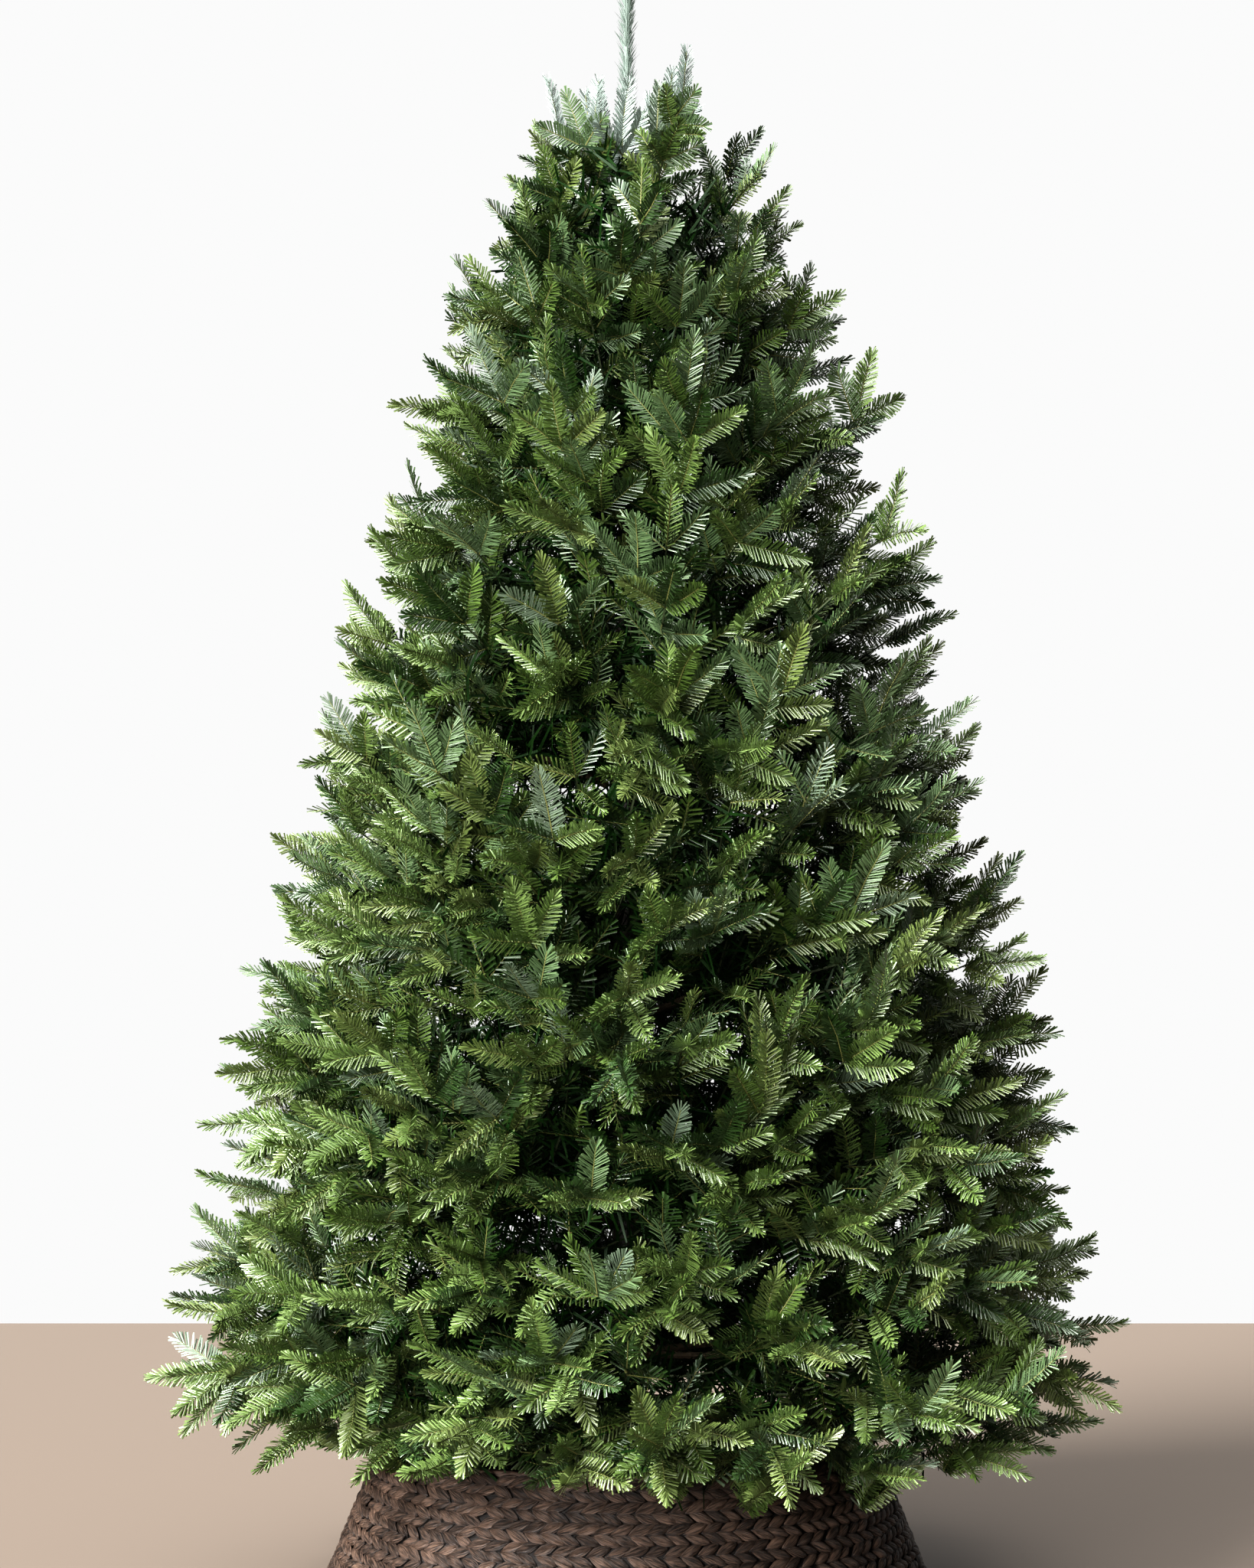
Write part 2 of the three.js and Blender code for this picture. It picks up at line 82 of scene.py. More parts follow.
def mesh_piece(name, points, triangles, material, slot, nodes, smooth=True):
    """A piece of the tree that stands in for some of the solids, which it hides; the slot it is given is not
    used.
    """
    points = np.asarray(points, dtype=np.float32).reshape(-1, 3)
    triangles = np.asarray(triangles, dtype=np.int32).reshape(-1, 3)
    mesh = bpy.data.meshes.new(name)
    mesh.vertices.add(len(points))
    mesh.vertices.foreach_set("co", points.ravel())
    mesh.loops.add(triangles.size)
    mesh.loops.foreach_set("vertex_index", triangles.ravel())
    mesh.polygons.add(len(triangles))
    mesh.polygons.foreach_set("loop_start", np.arange(0, triangles.size, 3, dtype=np.int32))
    mesh.update(calc_edges=True)
    mesh.polygons.foreach_set("use_smooth", np.full(len(triangles), smooth))
    mesh.materials.append(material)
    piece = added(name, mesh)
    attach(piece, "root")
    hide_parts(*nodes)
    return piece


class Value:
    """A shader socket that plain arithmetic turns into Math nodes."""

    def __init__(self, tree, socket):
        self.tree = tree
        self.socket = socket

    def combined(self, operation, other):
        made = self.tree.nodes.new("ShaderNodeMath")
        made.operation = operation
        for socket, value in zip(made.inputs, (self, other)):
            link_or_set(self.tree, socket, value)
        return Value(self.tree, made.outputs[0])

    def __add__(self, other):
        return self.combined("ADD", other)

    def __mul__(self, other):
        return self.combined("MULTIPLY", other)

    def __sub__(self, other):
        return self.combined("SUBTRACT", other)

    def __rsub__(self, other):
        return (self * -1) + other

    __radd__ = __add__
    __rmul__ = __mul__


def link_or_set(tree, socket, value):
    if isinstance(value, Value):
        tree.links.new(value.socket, socket)
    else:
        socket.default_value = value


class Surface:
    """A named material with one Principled shader, and the nodes that feed it."""

    def __init__(self, name, **constants):
        self.material = bpy.data.materials.new(name)
        self.material.use_nodes = True
        self.tree = self.material.node_tree
        self.shader = self.tree.nodes["Principled BSDF"]
        self.feed(**constants)

    def feed(self, **values):
        for key, value in values.items():
            link_or_set(self.tree, self.shader.inputs[key.replace("_", " ")], value)

    def node(self, kind, output, settings, sockets):
        """Adds a node; its settings go first, since they decide which sockets it has."""
        made = self.tree.nodes.new(kind)
        for key, value in settings.items():
            setattr(made, key, value)
        for key, value in sockets.items():
            link_or_set(self.tree, made.inputs[key], value)
        return Value(self.tree, made.outputs[output])

    def noise(self, place, scale, detail=2.0):
        return self.node("ShaderNodeTexNoise", "Fac", {}, {"Vector": place, "Scale": scale, "Detail": detail})

    def place(self, stretch=(1, 1, 1)):
        """Where a point lies on the piece, in metres, stretched so that a pattern runs one way."""
        raw = self.node("ShaderNodeTexCoord", "Object", {}, {})
        return self.node("ShaderNodeVectorMath", "Vector", {"operation": "MULTIPLY"}, {0: raw, 1: stretch})

    def blend(self, factor, low, high):
        return self.node("ShaderNodeMix", 2, {"data_type": "RGBA"}, {0: factor, 6: (*low, 1), 7: (*high, 1)})

    def bump(self, height, strength, distance):
        sockets = {"Height": height, "Strength": strength, "Distance": distance}
        return self.node("ShaderNodeBump", "Normal", {}, sockets)

    def patchy(self, patches, low, high, roughness):
        """Two near tones in patches, with the sheen following them."""
        sheen = patches * SHEEN_SPREAD + (roughness - SHEEN_SPREAD / 2)
        self.feed(Base_Color=self.blend(patches, low, high), Roughness=sheen)


def painted(name, low, high, roughness, grain_scale):
    """Sprayed enamel: a slightly uneven tone, worn patches of sheen and a fine orange-peel grain."""
    paint = Surface(name)
    patches = paint.noise(paint.place(), 9.0, 3.0)
    grain = paint.noise(paint.place(), grain_scale)
    paint.patchy(patches, low, high, roughness)
    paint.feed(Normal=paint.bump(grain, 0.25, 0.0006))
    return paint.material


def turned(profile, sides):
    """A profile of radii and heights, turned about the pole's axis."""
    profile = np.array(profile)
    turn = np.linspace(0, tau, sides, endpoint=False)
    points = np.stack(
        [
            profile[:, None, 0] * np.cos(turn),
            profile[:, None, 0] * np.sin(turn),
            np.repeat(profile[:, 1:], sides, axis=1),
        ],
        axis=-1,
    )
    return points.reshape(-1, 3), grid_triangles(len(profile), sides, closed=True)


def grid_triangles(rows, columns, closed=False):
    """Two triangles to each cell of a grid of points; closed joins the last column to the first."""
    cells_across = columns if closed else columns - 1
    row, column = np.meshgrid(np.arange(rows - 1), np.arange(cells_across), indexing="ij")
    near = row * columns + column
    beside = row * columns + (column + 1) % columns
    above, opposite = near + columns, beside + columns
    halves = [np.stack([near, beside, opposite], -1), np.stack([near, opposite, above], -1)]
    return np.stack(halves, 2).reshape(-1, 3)


def ring_radius(tier):
    return next(radius for top, radius in POLE_SECTIONS if FORKS[tier][1] < top) + RING_REACH


def bough_root_height(tier):
    radius, height = FORKS[tier]
    return height - (radius - ring_radius(tier)) * tan(radians(BOUGH_RISES[tier]))


def pole_profile():
    profile = [(NEAR_AXIS, POLE_FOOT)]
    foot = POLE_FOOT
    for top, radius in POLE_SECTIONS:
        profile += [(radius - EDGE, foot), (radius, foot + 2 * EDGE)]
        for tier in range(len(FORKS)):
            height = bough_root_height(tier)
            if foot < height < top:
                outside = radius + RING_REACH
                low, high = height - RING_HEIGHT / 2, height + RING_HEIGHT / 2
                profile += [(radius, low), (radius, low), (outside - EDGE, low), (outside, low + EDGE)]
                profile += [(outside, high - EDGE), (outside - EDGE, high), (radius, high), (radius, high)]
        profile += [(radius, top - 4 * EDGE), (radius - 2 * EDGE, top)]
        foot = top
    return profile + [(NEAR_AXIS, POLE_TOP)]


pole_paint = painted("pole_paint", POLE_DARK, POLE_LIGHT, roughness=0.5, grain_scale=420.0)
mesh_piece("pole", *turned(pole_profile(), POLE_SIDES), pole_paint, "pole", ["trunk_pole"], smooth=False)


# Stand.
# A welded steel hub that sockets the pole, and four sloping flat-bar legs that bolt to it.
# Dark green satin paint; a thumbscrew in the hub clamps the pole.
HUB_RADIUS = 0.026
HUB_HEIGHT = 0.215
HUB_FLANGE = 0.014
HUB_BORE = 0.02
HUB_SIDES = 48
LEG_WIDTH = 0.022
LEG_PROFILE = [(0.0263, 0.195), (0.0263, 0.143), (0.3636, 0.0), (0.4136, 0.0), (0.4047, 0.021)]
LEG_BEVEL = 0.002
LEG_TURNS = [45, 135, 225, 315]
SCREW_HEIGHTS = [0.12, 0.205]
SCREW_PROFILE = [(NEAR_AXIS, 0.0), (0.004, 0.0), (0.004, 0.012), (0.009, 0.014), (0.009, 0.022)]
SCREW_PROFILE += [(NEAR_AXIS, 0.023)]
SCREW_SIDES = 16
SCREW_SUNK = 0.002
STAND_DARK = (0.009, 0.017, 0.012)
STAND_LIGHT = (0.016, 0.028, 0.021)

stand_paint = painted("stand_paint", STAND_DARK, STAND_LIGHT, roughness=0.42, grain_scale=520.0)
flange = HUB_RADIUS + HUB_FLANGE
hub_profile = [(NEAR_AXIS, 0), (flange - EDGE, 0), (flange, EDGE), (flange, 0.009)]
hub_profile += [(HUB_RADIUS + 2 * EDGE, 0.013), (HUB_RADIUS, 0.018), (HUB_RADIUS, HUB_HEIGHT - EDGE)]
hub_profile += [(HUB_RADIUS - EDGE, HUB_HEIGHT), (HUB_BORE, HUB_HEIGHT), (HUB_BORE, 0.01), (NEAR_AXIS, 0.01)]
hub = turned(hub_profile, HUB_SIDES)
mesh_piece("stand_hub_socket", *hub, stand_paint, "stand", ["stand_hub"], smooth=False)


def prism(profile, width):
    """A flat bar that lies along x: its side view, as thick as width."""
    count = len(profile)
    points = [(x, side * width / 2, z) for side in (-1, 1) for x, z in profile]
    triangles = []
    for corner in range(count):
        following = (corner + 1) % count
        triangles += [(corner, following, count + following), (corner, count + following, count + corner)]
    for corner in range(1, count - 1):
        triangles += [(0, corner + 1, corner), (count, count + corner, count + corner + 1)]
    return np.array(points), triangles


def turned_about_axis(points, angle):
    cosine, sine = cos(angle), sin(angle)
    return points @ np.array([[cosine, sine, 0], [-sine, cosine, 0], [0, 0, 1]])


def joined(*parts):
    """Meshes given as points and triangles, as one mesh."""
    all_points, all_triangles, start = [], [], 0
    for points, triangles in parts:
        all_points.append(np.asarray(points).reshape(-1, 3))
        all_triangles.append(np.asarray(triangles).reshape(-1, 3) + start)
        start += len(all_points[-1])
    return np.concatenate(all_points), np.concatenate(all_triangles)


leg_points, leg_triangles = prism(LEG_PROFILE, LEG_WIDTH)
for leg, turn in enumerate(LEG_TURNS, 1):
    placed = turned_about_axis(leg_points, radians(turn))
    leg_nodes = [f"stand_leg_{leg}"]
    bar = mesh_piece(f"stand_leg_bar_{leg}", placed, leg_triangles, stand_paint, "stand", leg_nodes, False)
    bevel = bar.modifiers.new("bevel", "BEVEL")
    bevel.width = LEG_BEVEL
    bevel.segments = 2

screw_points, screw_triangles = turned(SCREW_PROFILE, SCREW_SIDES)
lying = screw_points[:, [2, 1, 0]] * [1, -1, 1] + [HUB_RADIUS - SCREW_SUNK, 0, 0]
screws = joined(*[(lying + [0, 0, height], screw_triangles) for height in SCREW_HEIGHTS])
mesh_piece("stand_thumbscrews", *screws, stand_paint, "stand", [], smooth=False)


# Woven base ring.
# A rigid tapering ring of braided water hyacinth, stained dark brown. Each row is a flat plait of
# two strands, woven over upright wires that stand at the corners of its sixteen panels.
BASE_BOTTOM = 0.424
BASE_TOP = 0.334
BASE_HEIGHT = 0.215
BASE_ROWS = 8
PANELS = 16
PANEL_TURN = 14.0
PANEL_FLATNESS = 0.35
PADS_AROUND = 98
PAD_LENGTH = 0.039
PAD_WIDTH = 0.0148
PAD_RISE = 0.0066
PAD_TILT = 22.0
PAD_ROW_ENDS = (0.0115, 0.2035)
PLAIT_TURNS_OVER = (-31.0, 149.0)
ROW_SHIFT = 0.27
PAD_STRAY = {"step": 0.12, "tilt": 5, "size": 0.1, "lift": 0.0012}
PAD_GRID = (6, 5)
STRAND_STRETCH = {"along": 2.6, "across": 16, "between": 60}
WEAVE_DARK = (0.011, 0.0067, 0.0047)
WEAVE_LIGHT = (0.142, 0.093, 0.068)
# Near-black tones of the wall behind the plaits: painted shade for the gaps between the strands and the
# ring's inside.
BACKING_DARK = (0.003, 0.002, 0.0015)
BACKING_LIGHT = (0.012, 0.008, 0.006)
BACKING_INSET = 0.003
BACKING_HEIGHTS = (0.002, BASE_HEIGHT - 0.004)
BACKING_SIDES = 96
INSIDE_WALL = 0.009
ROPE_THICKNESS = 0.0065
ROPE_STEPS = 320
ROPE_SIDES = 8
ROPE_GROOVE = 0.14
TOP_ROPE = {"radius": BASE_TOP - 0.004, "height": BASE_HEIGHT - 0.0055, "twists": 120}
BOTTOM_ROPE = {"radius": BASE_BOTTOM - 0.003, "height": 0.0068, "twists": 150}

random = np.random.default_rng(41)


def stray(most, shape=None):
    """A random amount, or a whole array of them, up to the given one either way."""
    return random.uniform(-most, most, shape)


def panel_pull(azimuth):
    half = pi / PANELS
    off = np.mod(azimuth + pi / 2 - radians(PANEL_TURN), 2 * half) - half
    return 1 - PANEL_FLATNESS * (1 - cos(half) / np.cos(off))


def wall_frame(azimuth, share):
    slope = atan2(BASE_BOTTOM - BASE_TOP, BASE_HEIGHT)
    outward = np.stack([np.cos(azimuth), np.sin(azimuth), np.zeros_like(azimuth)], -1)
    sideways = np.stack([-np.sin(azimuth), np.cos(azimuth), np.zeros_like(azimuth)], -1)
    upward = -outward * sin(slope) + np.array([0, 0, cos(slope)])
    normal = outward * cos(slope) + np.array([0, 0, sin(slope)])
    radius = (BASE_BOTTOM + (BASE_TOP - BASE_BOTTOM) * share) * panel_pull(azimuth)
    place = outward * radius[:, None] + np.stack([0 * share, 0 * share, share * BASE_HEIGHT], -1)
    return place, sideways, upward, normal


def pads():
    """The visible turns of the strands, each a crowned pad that narrows to both ends."""
    grid_lines = [np.linspace(-1, 1, count) for count in PAD_GRID]
    along, across = np.meshgrid(*grid_lines, indexing="ij")
    width = (1 - np.abs(along) ** 1.7) ** 0.95
    rise = (1 - along**2) ** 0.8 * np.sqrt(1 - 0.96 * across**2)
    centres = []
    for half_row in range(2 * BASE_ROWS):
        upper = half_row % 2
        share = np.interp(half_row, (0, 2 * BASE_ROWS - 1), PAD_ROW_ENDS) / BASE_HEIGHT
        for pad in range(PADS_AROUND):
            step = pad + ROW_SHIFT * (half_row // 2) + stray(PAD_STRAY["step"])
            azimuth = tau * step / PADS_AROUND
            front = degrees((azimuth + pi / 2 + pi) % tau - pi)
            left = PLAIT_TURNS_OVER[0] < front < PLAIT_TURNS_OVER[1]
            tilt = PAD_TILT * (1 if upper else -1) * (1 if left else -1) + stray(PAD_STRAY["tilt"])
            centres.append((azimuth, share, radians(tilt)))
    azimuth, share, tilt = np.array(centres).T
    place, sideways, upward, normal = wall_frame(azimuth, share)
    length_way = sideways * np.cos(tilt)[:, None] + upward * np.sin(tilt)[:, None]
    width_way = upward * np.cos(tilt)[:, None] - sideways * np.sin(tilt)[:, None]
    per_pad = (len(azimuth), 1, 1, 1)
    size = random.uniform(1 - PAD_STRAY["size"], 1 + PAD_STRAY["size"], per_pad)
    lift = stray(PAD_STRAY["lift"], per_pad)
    points = (
        place[:, None, None]
        + length_way[:, None, None] * (along * PAD_LENGTH / 2)[None, ..., None] * size
        + width_way[:, None, None] * (across * width * PAD_WIDTH / 2)[None, ..., None] * size
        + normal[:, None, None] * ((rise * PAD_RISE)[None, ..., None] + lift)
    )
    triangles = grid_triangles(*PAD_GRID)[None] + (np.arange(len(azimuth)) * along.size)[:, None, None]
    tones = np.repeat(random.uniform(0, 1, len(azimuth)), along.size)
    lengthwise = np.tile((along * 0.5 + 0.5).ravel(), len(azimuth)) * STRAND_STRETCH["along"]
    crosswise = np.tile((across * 0.5 + 0.5).ravel(), len(azimuth)) * STRAND_STRETCH["across"]
    strands = np.stack([lengthwise, crosswise, tones * STRAND_STRETCH["between"]], -1)
    return points.reshape(-1, 3), triangles.reshape(-1, 3), tones, strands


def weave_material():
    """Each flattened strand has its own tone and fine fibres along its length."""
    leaf = Surface("stained_hyacinth", Roughness=0.5)
    tone = leaf.node("ShaderNodeAttribute", "Fac", {"attribute_name": "tone"}, {})
    strand = leaf.node("ShaderNodeAttribute", "Vector", {"attribute_name": "strand"}, {})
    fibres = leaf.noise(strand, 1.0, 4.0)
    leaf.feed(
        Base_Color=leaf.blend(tone * 0.5 + fibres * 3.2 - 1.5, WEAVE_DARK, WEAVE_LIGHT),
        Normal=leaf.bump(fibres, 1.0, 0.004),
    )
    return leaf.material


def rope(radius, height, twists):
    turns = np.linspace(0, tau, ROPE_STEPS, endpoint=False)
    sides = np.linspace(0, tau, ROPE_SIDES, endpoint=False)
    turn, side = np.meshgrid(turns, sides, indexing="ij")
    swell = ROPE_THICKNESS * (1 - ROPE_GROOVE + ROPE_GROOVE * np.abs(np.sin(twists * turn / 2 + side)))
    reach = radius * panel_pull(turn) + swell * np.cos(side)
    points = np.stack([reach * np.cos(turn), reach * np.sin(turn), height + swell * np.sin(side)], -1)
    points = np.concatenate([points, points[:1]])
    return points.reshape(-1, 3), grid_triangles(ROPE_STEPS + 1, ROPE_SIDES, closed=True)[:, ::-1]


hyacinth = weave_material()
pad_points, pad_triangles, pad_tones, pad_strands = pads()
plaits = mesh_piece("woven_plaits", pad_points, pad_triangles, hyacinth, "weave", ["woven_base"])
tone_layer = plaits.data.attributes.new("tone", "FLOAT", "POINT")
tone_layer.data.foreach_set("value", pad_tones.astype(np.float32))
strand_layer = plaits.data.attributes.new("strand", "FLOAT_VECTOR", "POINT")
strand_layer.data.foreach_set("vector", pad_strands.astype(np.float32).ravel())

# The wall behind the plaits is near-black as painted shade, seen in the gaps between the strands and inside
# the ring.
backing = Surface("backing_painted_shade", Roughness=0.8)
straw = backing.noise(backing.place((1, 1, 9)), 60.0, 3.0)
backing.feed(
    Base_Color=backing.blend(straw, BACKING_DARK, BACKING_LIGHT),
    Normal=backing.bump(straw, 0.8, 0.002),
)
backing_low, backing_high = BACKING_HEIGHTS
backing_profile = [(BASE_BOTTOM - BACKING_INSET, backing_low), (BASE_TOP - BACKING_INSET, backing_high)]
backing_profile += [(BASE_TOP - INSIDE_WALL, backing_high), (BASE_BOTTOM - INSIDE_WALL, backing_low)]
backing_profile += [backing_profile[0]]
inner_wall = turned(backing_profile, BACKING_SIDES)
mesh_piece("woven_backing", *inner_wall, backing.material, "weave", [], smooth=False)

rim = Surface("hyacinth_rim", Roughness=0.6)
twist = rim.noise(rim.place((1, 1, 4)), 140.0, 4.0)
rim.feed(
    Base_Color=rim.blend(twist * 1.6 - 0.3, WEAVE_DARK, WEAVE_LIGHT),
    Normal=rim.bump(twist, 0.8, 0.002),
)
mesh_piece("woven_rims", *joined(rope(**TOP_ROPE), rope(**BOTTOM_ROPE)), rim.material, "weave", [])


# Boughs.
# Hinged steel wire arms wound with brown and green paper tape, one to each mass. Each hooks into its
# tier's bracket ring and rises slightly to the fork where its twigs fan out.
TIER_SECTORS = [6, 6, 5, 4, 3]
TIER_TURNS = [-75, -102, -80, -118, -150]
BOUGH_ROOT_RADIUS = 0.006
BOUGH_TIP_RADIUS = 0.0045
BOUGH_END_RADIUS = 0.0003
BOUGH_SIDES = 8
BOUGH_GAP = 0.001
WINDINGS = 18
WINDING_DEPTH = 0.1
TAPE_DARK = (0.035, 0.028, 0.014)
TAPE_LIGHT = (0.105, 0.075, 0.046)


def polar(radius, azimuth, height):
    return np.array([radius * cos(azimuth), radius * sin(azimuth), height])


def heading(azimuth, rise):
    return polar(cos(rise), azimuth, sin(rise))


def unit(vector):
    return vector / np.linalg.norm(vector)


def units(vectors):
    return vectors / np.linalg.norm(vectors, axis=-1, keepdims=True)


def cross_directions(along, roll):
    """The directions across and up from one that runs along a limb, rolled about it."""
    upright = np.array([0.0, 1.0, 0.0]) if abs(along[2]) > 0.95 else np.array([0.0, 0.0, 1.0])
    across = unit(np.cross(along, upright))
    across = across * cos(roll) + np.cross(along, across) * sin(roll)
    return across, np.cross(across, along)


def wound_limb(start, end):
    rings = WINDINGS * 2 + 1
    across, up = cross_directions(unit(end - start), 0)
    shares = np.linspace(0, 1, rings)
    turns = np.linspace(0, tau, BOUGH_SIDES, endpoint=False)
    share, turn = np.meshgrid(shares, turns, indexing="ij")
    ridge = 1 - WINDING_DEPTH * (np.arange(rings) % 2)[:, None]
    radius = (BOUGH_ROOT_RADIUS + (BOUGH_TIP_RADIUS - BOUGH_ROOT_RADIUS) * share) * ridge
    radius[0] = radius[-1] = BOUGH_END_RADIUS
    points = start + (end - start) * share[..., None]
    points = points + across * (radius * np.cos(turn))[..., None] + up * (radius * np.sin(turn))[..., None]
    return points.reshape(-1, 3), grid_triangles(rings, BOUGH_SIDES, closed=True)[:, ::-1]


tape = Surface("bough_tape", Roughness=0.8)
creases = tape.noise(tape.place(), 130.0, 3.0)
tape.feed(
    Base_Color=tape.blend(creases * 1.8 - 0.4, TAPE_DARK, TAPE_LIGHT),
    Normal=tape.bump(creases, 0.7, 0.001),
)
for tier, sectors in enumerate(TIER_SECTORS):
    for sector in range(sectors):
        middle = radians(TIER_TURNS[tier]) + (sector + 0.5) * tau / sectors
        fork = polar(FORKS[tier][0], middle, FORKS[tier][1])
        rise = radians(BOUGH_RISES[tier])
        reach = (FORKS[tier][0] - ring_radius(tier) - BOUGH_GAP) / cos(rise)
        arm = wound_limb(fork - heading(middle, rise) * reach, fork)
        label = f"tier{tier + 1}_{sector + 1}"
        mesh_piece(f"bough_arm_{label}", *arm, tape.material, "bough", [f"bough_{label}"], smooth=False)


# Twigs.
# From each fork thin wire twigs curve out to the crown's outline, by the same rule that places the
# solids' sprays, and shorter ones fill the rows between. Each carries several needle tips near its end.
CROWN_RADIUS = 0.692
WIDEST_HEIGHT = 0.33
CROWN_TOP = 2.215
CROWN_CURVE = 0.54
UNDERCURL_DEPTH = 0.26
UNDERCURL_SHARE = 0.85
CROWN_SHIFT = 0.022
TREE_HEIGHT = 2.29
TIP_RISE = [(0.06, -58), (0.25, -16), (0.35, 4), (0.6, 18), (1.0, 25), (1.5, 33), (1.8, 42)]
TIP_RISE += [(2.0, 56), (2.3, 70)]
STRAY = {"azimuth": 4, "height": 0.034, "shortfall": 0.09, "rise": 12, "roll": 70}
TIER_ROWS = [
    [(0.148, 4), (0.226, 4), (0.31, 4), (0.39, 4), (0.462, 4)],
    [(0.552, 4), (0.632, 5), (0.712, 4), (0.79, 5)],
    [(0.88, 4), (0.965, 5), (1.045, 4), (1.125, 5)],
    [(1.22, 4), (1.3, 4), (1.38, 4), (1.458, 4)],
    [(1.55, 4), (1.63, 4), (1.71, 4), (1.788, 4)],
]
TOP_ROWS = [(1.868, 8), (1.936, 7), (2.004, 6), (2.068, 5), (2.13, 3)]
TOP_ROW_SHIFT = 0.4
TOP_FORK_DROP = 0.26
LIMB_BEND = 0.45
FAN_ROLL = 0.6
CROWN_FLOOR = {"pole": 0.386, "slope": -0.25}
SHORTEST_SHARE = 0.1
OPEN_TIERS = 4
SHRINKING_HEIGHTS = (1.72, 2.02)
SMALLEST = {"tip": 0.72, "needle": 0.8}
CROWDED_SIZE = 0.85
LEANS = {"level": (-15, 10), "up": (15, 36), "down": (-38, -18)}
LEAN_ODDS = [0.62, 0.18, 0.2]
LAST_LENGTH = (0.1, 0.124)
LIFTED_TIP = {"back": (0.035, 0.06), "swing": (-20, 20), "lift": (34, 56), "length": (0.08, 0.098)}
END_PAIR = {"back": 0.004, "swing": (34, 56), "lift": (-20, 12), "share": (0.76, 0.94)}
NEXT_PAIR = {"back": (0.05, 0.075), "swing": (36, 60), "lift": (-34, 34), "length": (0.085, 0.102)}
LOW_PAIR = {"further": (0.035, 0.05), "swing": (40, 66), "lift": (-45, 45), "length": (0.08, 0.1)}
CROWDED_PAIR = {"back": (0.02, 0.05), "swing": (16, 50), "lift": (-60, 60), "length": (0.065, 0.08)}
INNER_TIP = {"back": (0.14, 0.18), "swing": (30, 60), "lift": (-50, 50), "length": (0.08, 0.1)}
UPRIGHT_HEIGHT = 2.1
UPRIGHT_SPREAD = 0.4
UPRIGHT_LENGTH = (0.095, 0.115)
UPRIGHT_PAIR = {"back": (0.01, 0.04), "swing": (30, 50), "lift": (-20, 20), "share": (0.6, 0.8)}
SHOOTS = 8
SHOOT_PLACE = {"step": 0.25, "reach": (0.045, 0.095), "height": (2.1, 2.155), "rise": (72, 86), "fork": 1.93}
FILL_LENGTH = (0.085, 0.105)
FILL_PAIR = {"back": 0.006, "swing": (38, 55), "lift": (-25, 25), "share": (0.75, 0.95)}
FILL_LIFT = {"back": 0.03, "lift": (40, 60), "odds": {"side": 0.9, "inner": 0.2}}
FILL_OVER = 0.044
FILL_STEP = (0.75, 1.25)
FILL_REACH = (0.66, 0.84)
OVER_REACH = (0.8, 0.92)
SIDE_REACH = (0.5, 0.7)
FILL_STRAY = {"height": 0.015, "rise": (-22, 30)}
ROLL = 1.2
TWIG_STATIONS = 5
TWIG_RADII = (0.0022, 0.0013)
TWIG_DARK = (0.02, 0.027, 0.01)
TWIG_LIGHT = (0.04, 0.052, 0.02)


def seeded_draws(seed):
    """The plain random rule of the solids' sprays, so that the twigs end where those do."""
    state = (seed * 2654435761) & 0xFFFFFFFF
    while True:
        state = (state * 1664525 + 1013904223) & 0xFFFFFFFF
        yield state / 4294967296


def crown_radius(height):
    up = (height - WIDEST_HEIGHT) / (CROWN_TOP - WIDEST_HEIGHT)
    under = (WIDEST_HEIGHT - height) / UNDERCURL_DEPTH
    return CROWN_RADIUS * ((1 - up) ** CROWN_CURVE if up > 0 else sqrt(1 - UNDERCURL_SHARE * under**2))


def tip_rise(height):
    stops, rises = zip(*TIP_RISE)
    return float(np.interp(height, stops, rises))


def limb_at(draw, row_height, even_azimuth):
    azimuth = even_azimuth + radians(STRAY["azimuth"]) * (2 * next(draw) - 1)
    height = row_height + STRAY["height"] * (next(draw) - 0.5)
    reach = crown_radius(height) * (1 - STRAY["shortfall"] * next(draw)) + CROWN_SHIFT * cos(azimuth)
    rise = radians(tip_rise(height) + STRAY["rise"] * (next(draw) - 0.5))
    roll = radians(STRAY["roll"]) * (2 * next(draw) - 1)
    return {"tip": polar(reach, azimuth, height), "heading": heading(azimuth, rise), "roll": roll}


def sector_spans(tier):
    """The number, the first azimuth, the width and the fork of each sector of a tier."""
    width = tau / TIER_SECTORS[tier]
    for sector in range(TIER_SECTORS[tier]):
        start = radians(TIER_TURNS[tier]) + sector * width
        yield sector, start, width, polar(FORKS[tier][0], start + width / 2, FORKS[tier][1])


def crown_limbs():
    """The outer twigs, one to each spray of the solids."""
    for tier, rows in enumerate(TIER_ROWS):
        for sector, start, width, fork in sector_spans(tier):
            draw = seeded_draws(100 * (tier + 1) + sector)
            for height, count in rows:
                for column in range(count):
                    limb = limb_at(draw, height, start + width * (column + 0.5) / count)
                    yield {**limb, "fork": fork, "group": tier}
    draw = seeded_draws(900)
    for row, (height, count) in enumerate(TOP_ROWS):
        for column in range(count):
            limb = limb_at(draw, height, tau * (column + TOP_ROW_SHIFT * row) / count)
            fork = np.array([0.0, 0.0, max(POLE_TOP + 0.01, height - TOP_FORK_DROP)])
            yield {**limb, "fork": fork, "group": len(TIER_ROWS)}


def limb_point(limb, share):
    """A point of the twig's curve, from its fork at 0 to its end at 1."""
    return limb["fork"] * (1 - share) ** 2 + limb["bend"] * 2 * share * (1 - share) + limb["end"] * share**2


def pitched(limb, forward, swing, lift):
    """A direction swung to one side and lifted from the one that is given."""
    swung = unit(forward + unit(np.cross(forward, limb["up"])) * tan(swing))
    return unit(swung + limb["up"] * tan(lift))


def shrunk(height, smallest):
    return float(np.interp(height, SHRINKING_HEIGHTS, (1, smallest)))


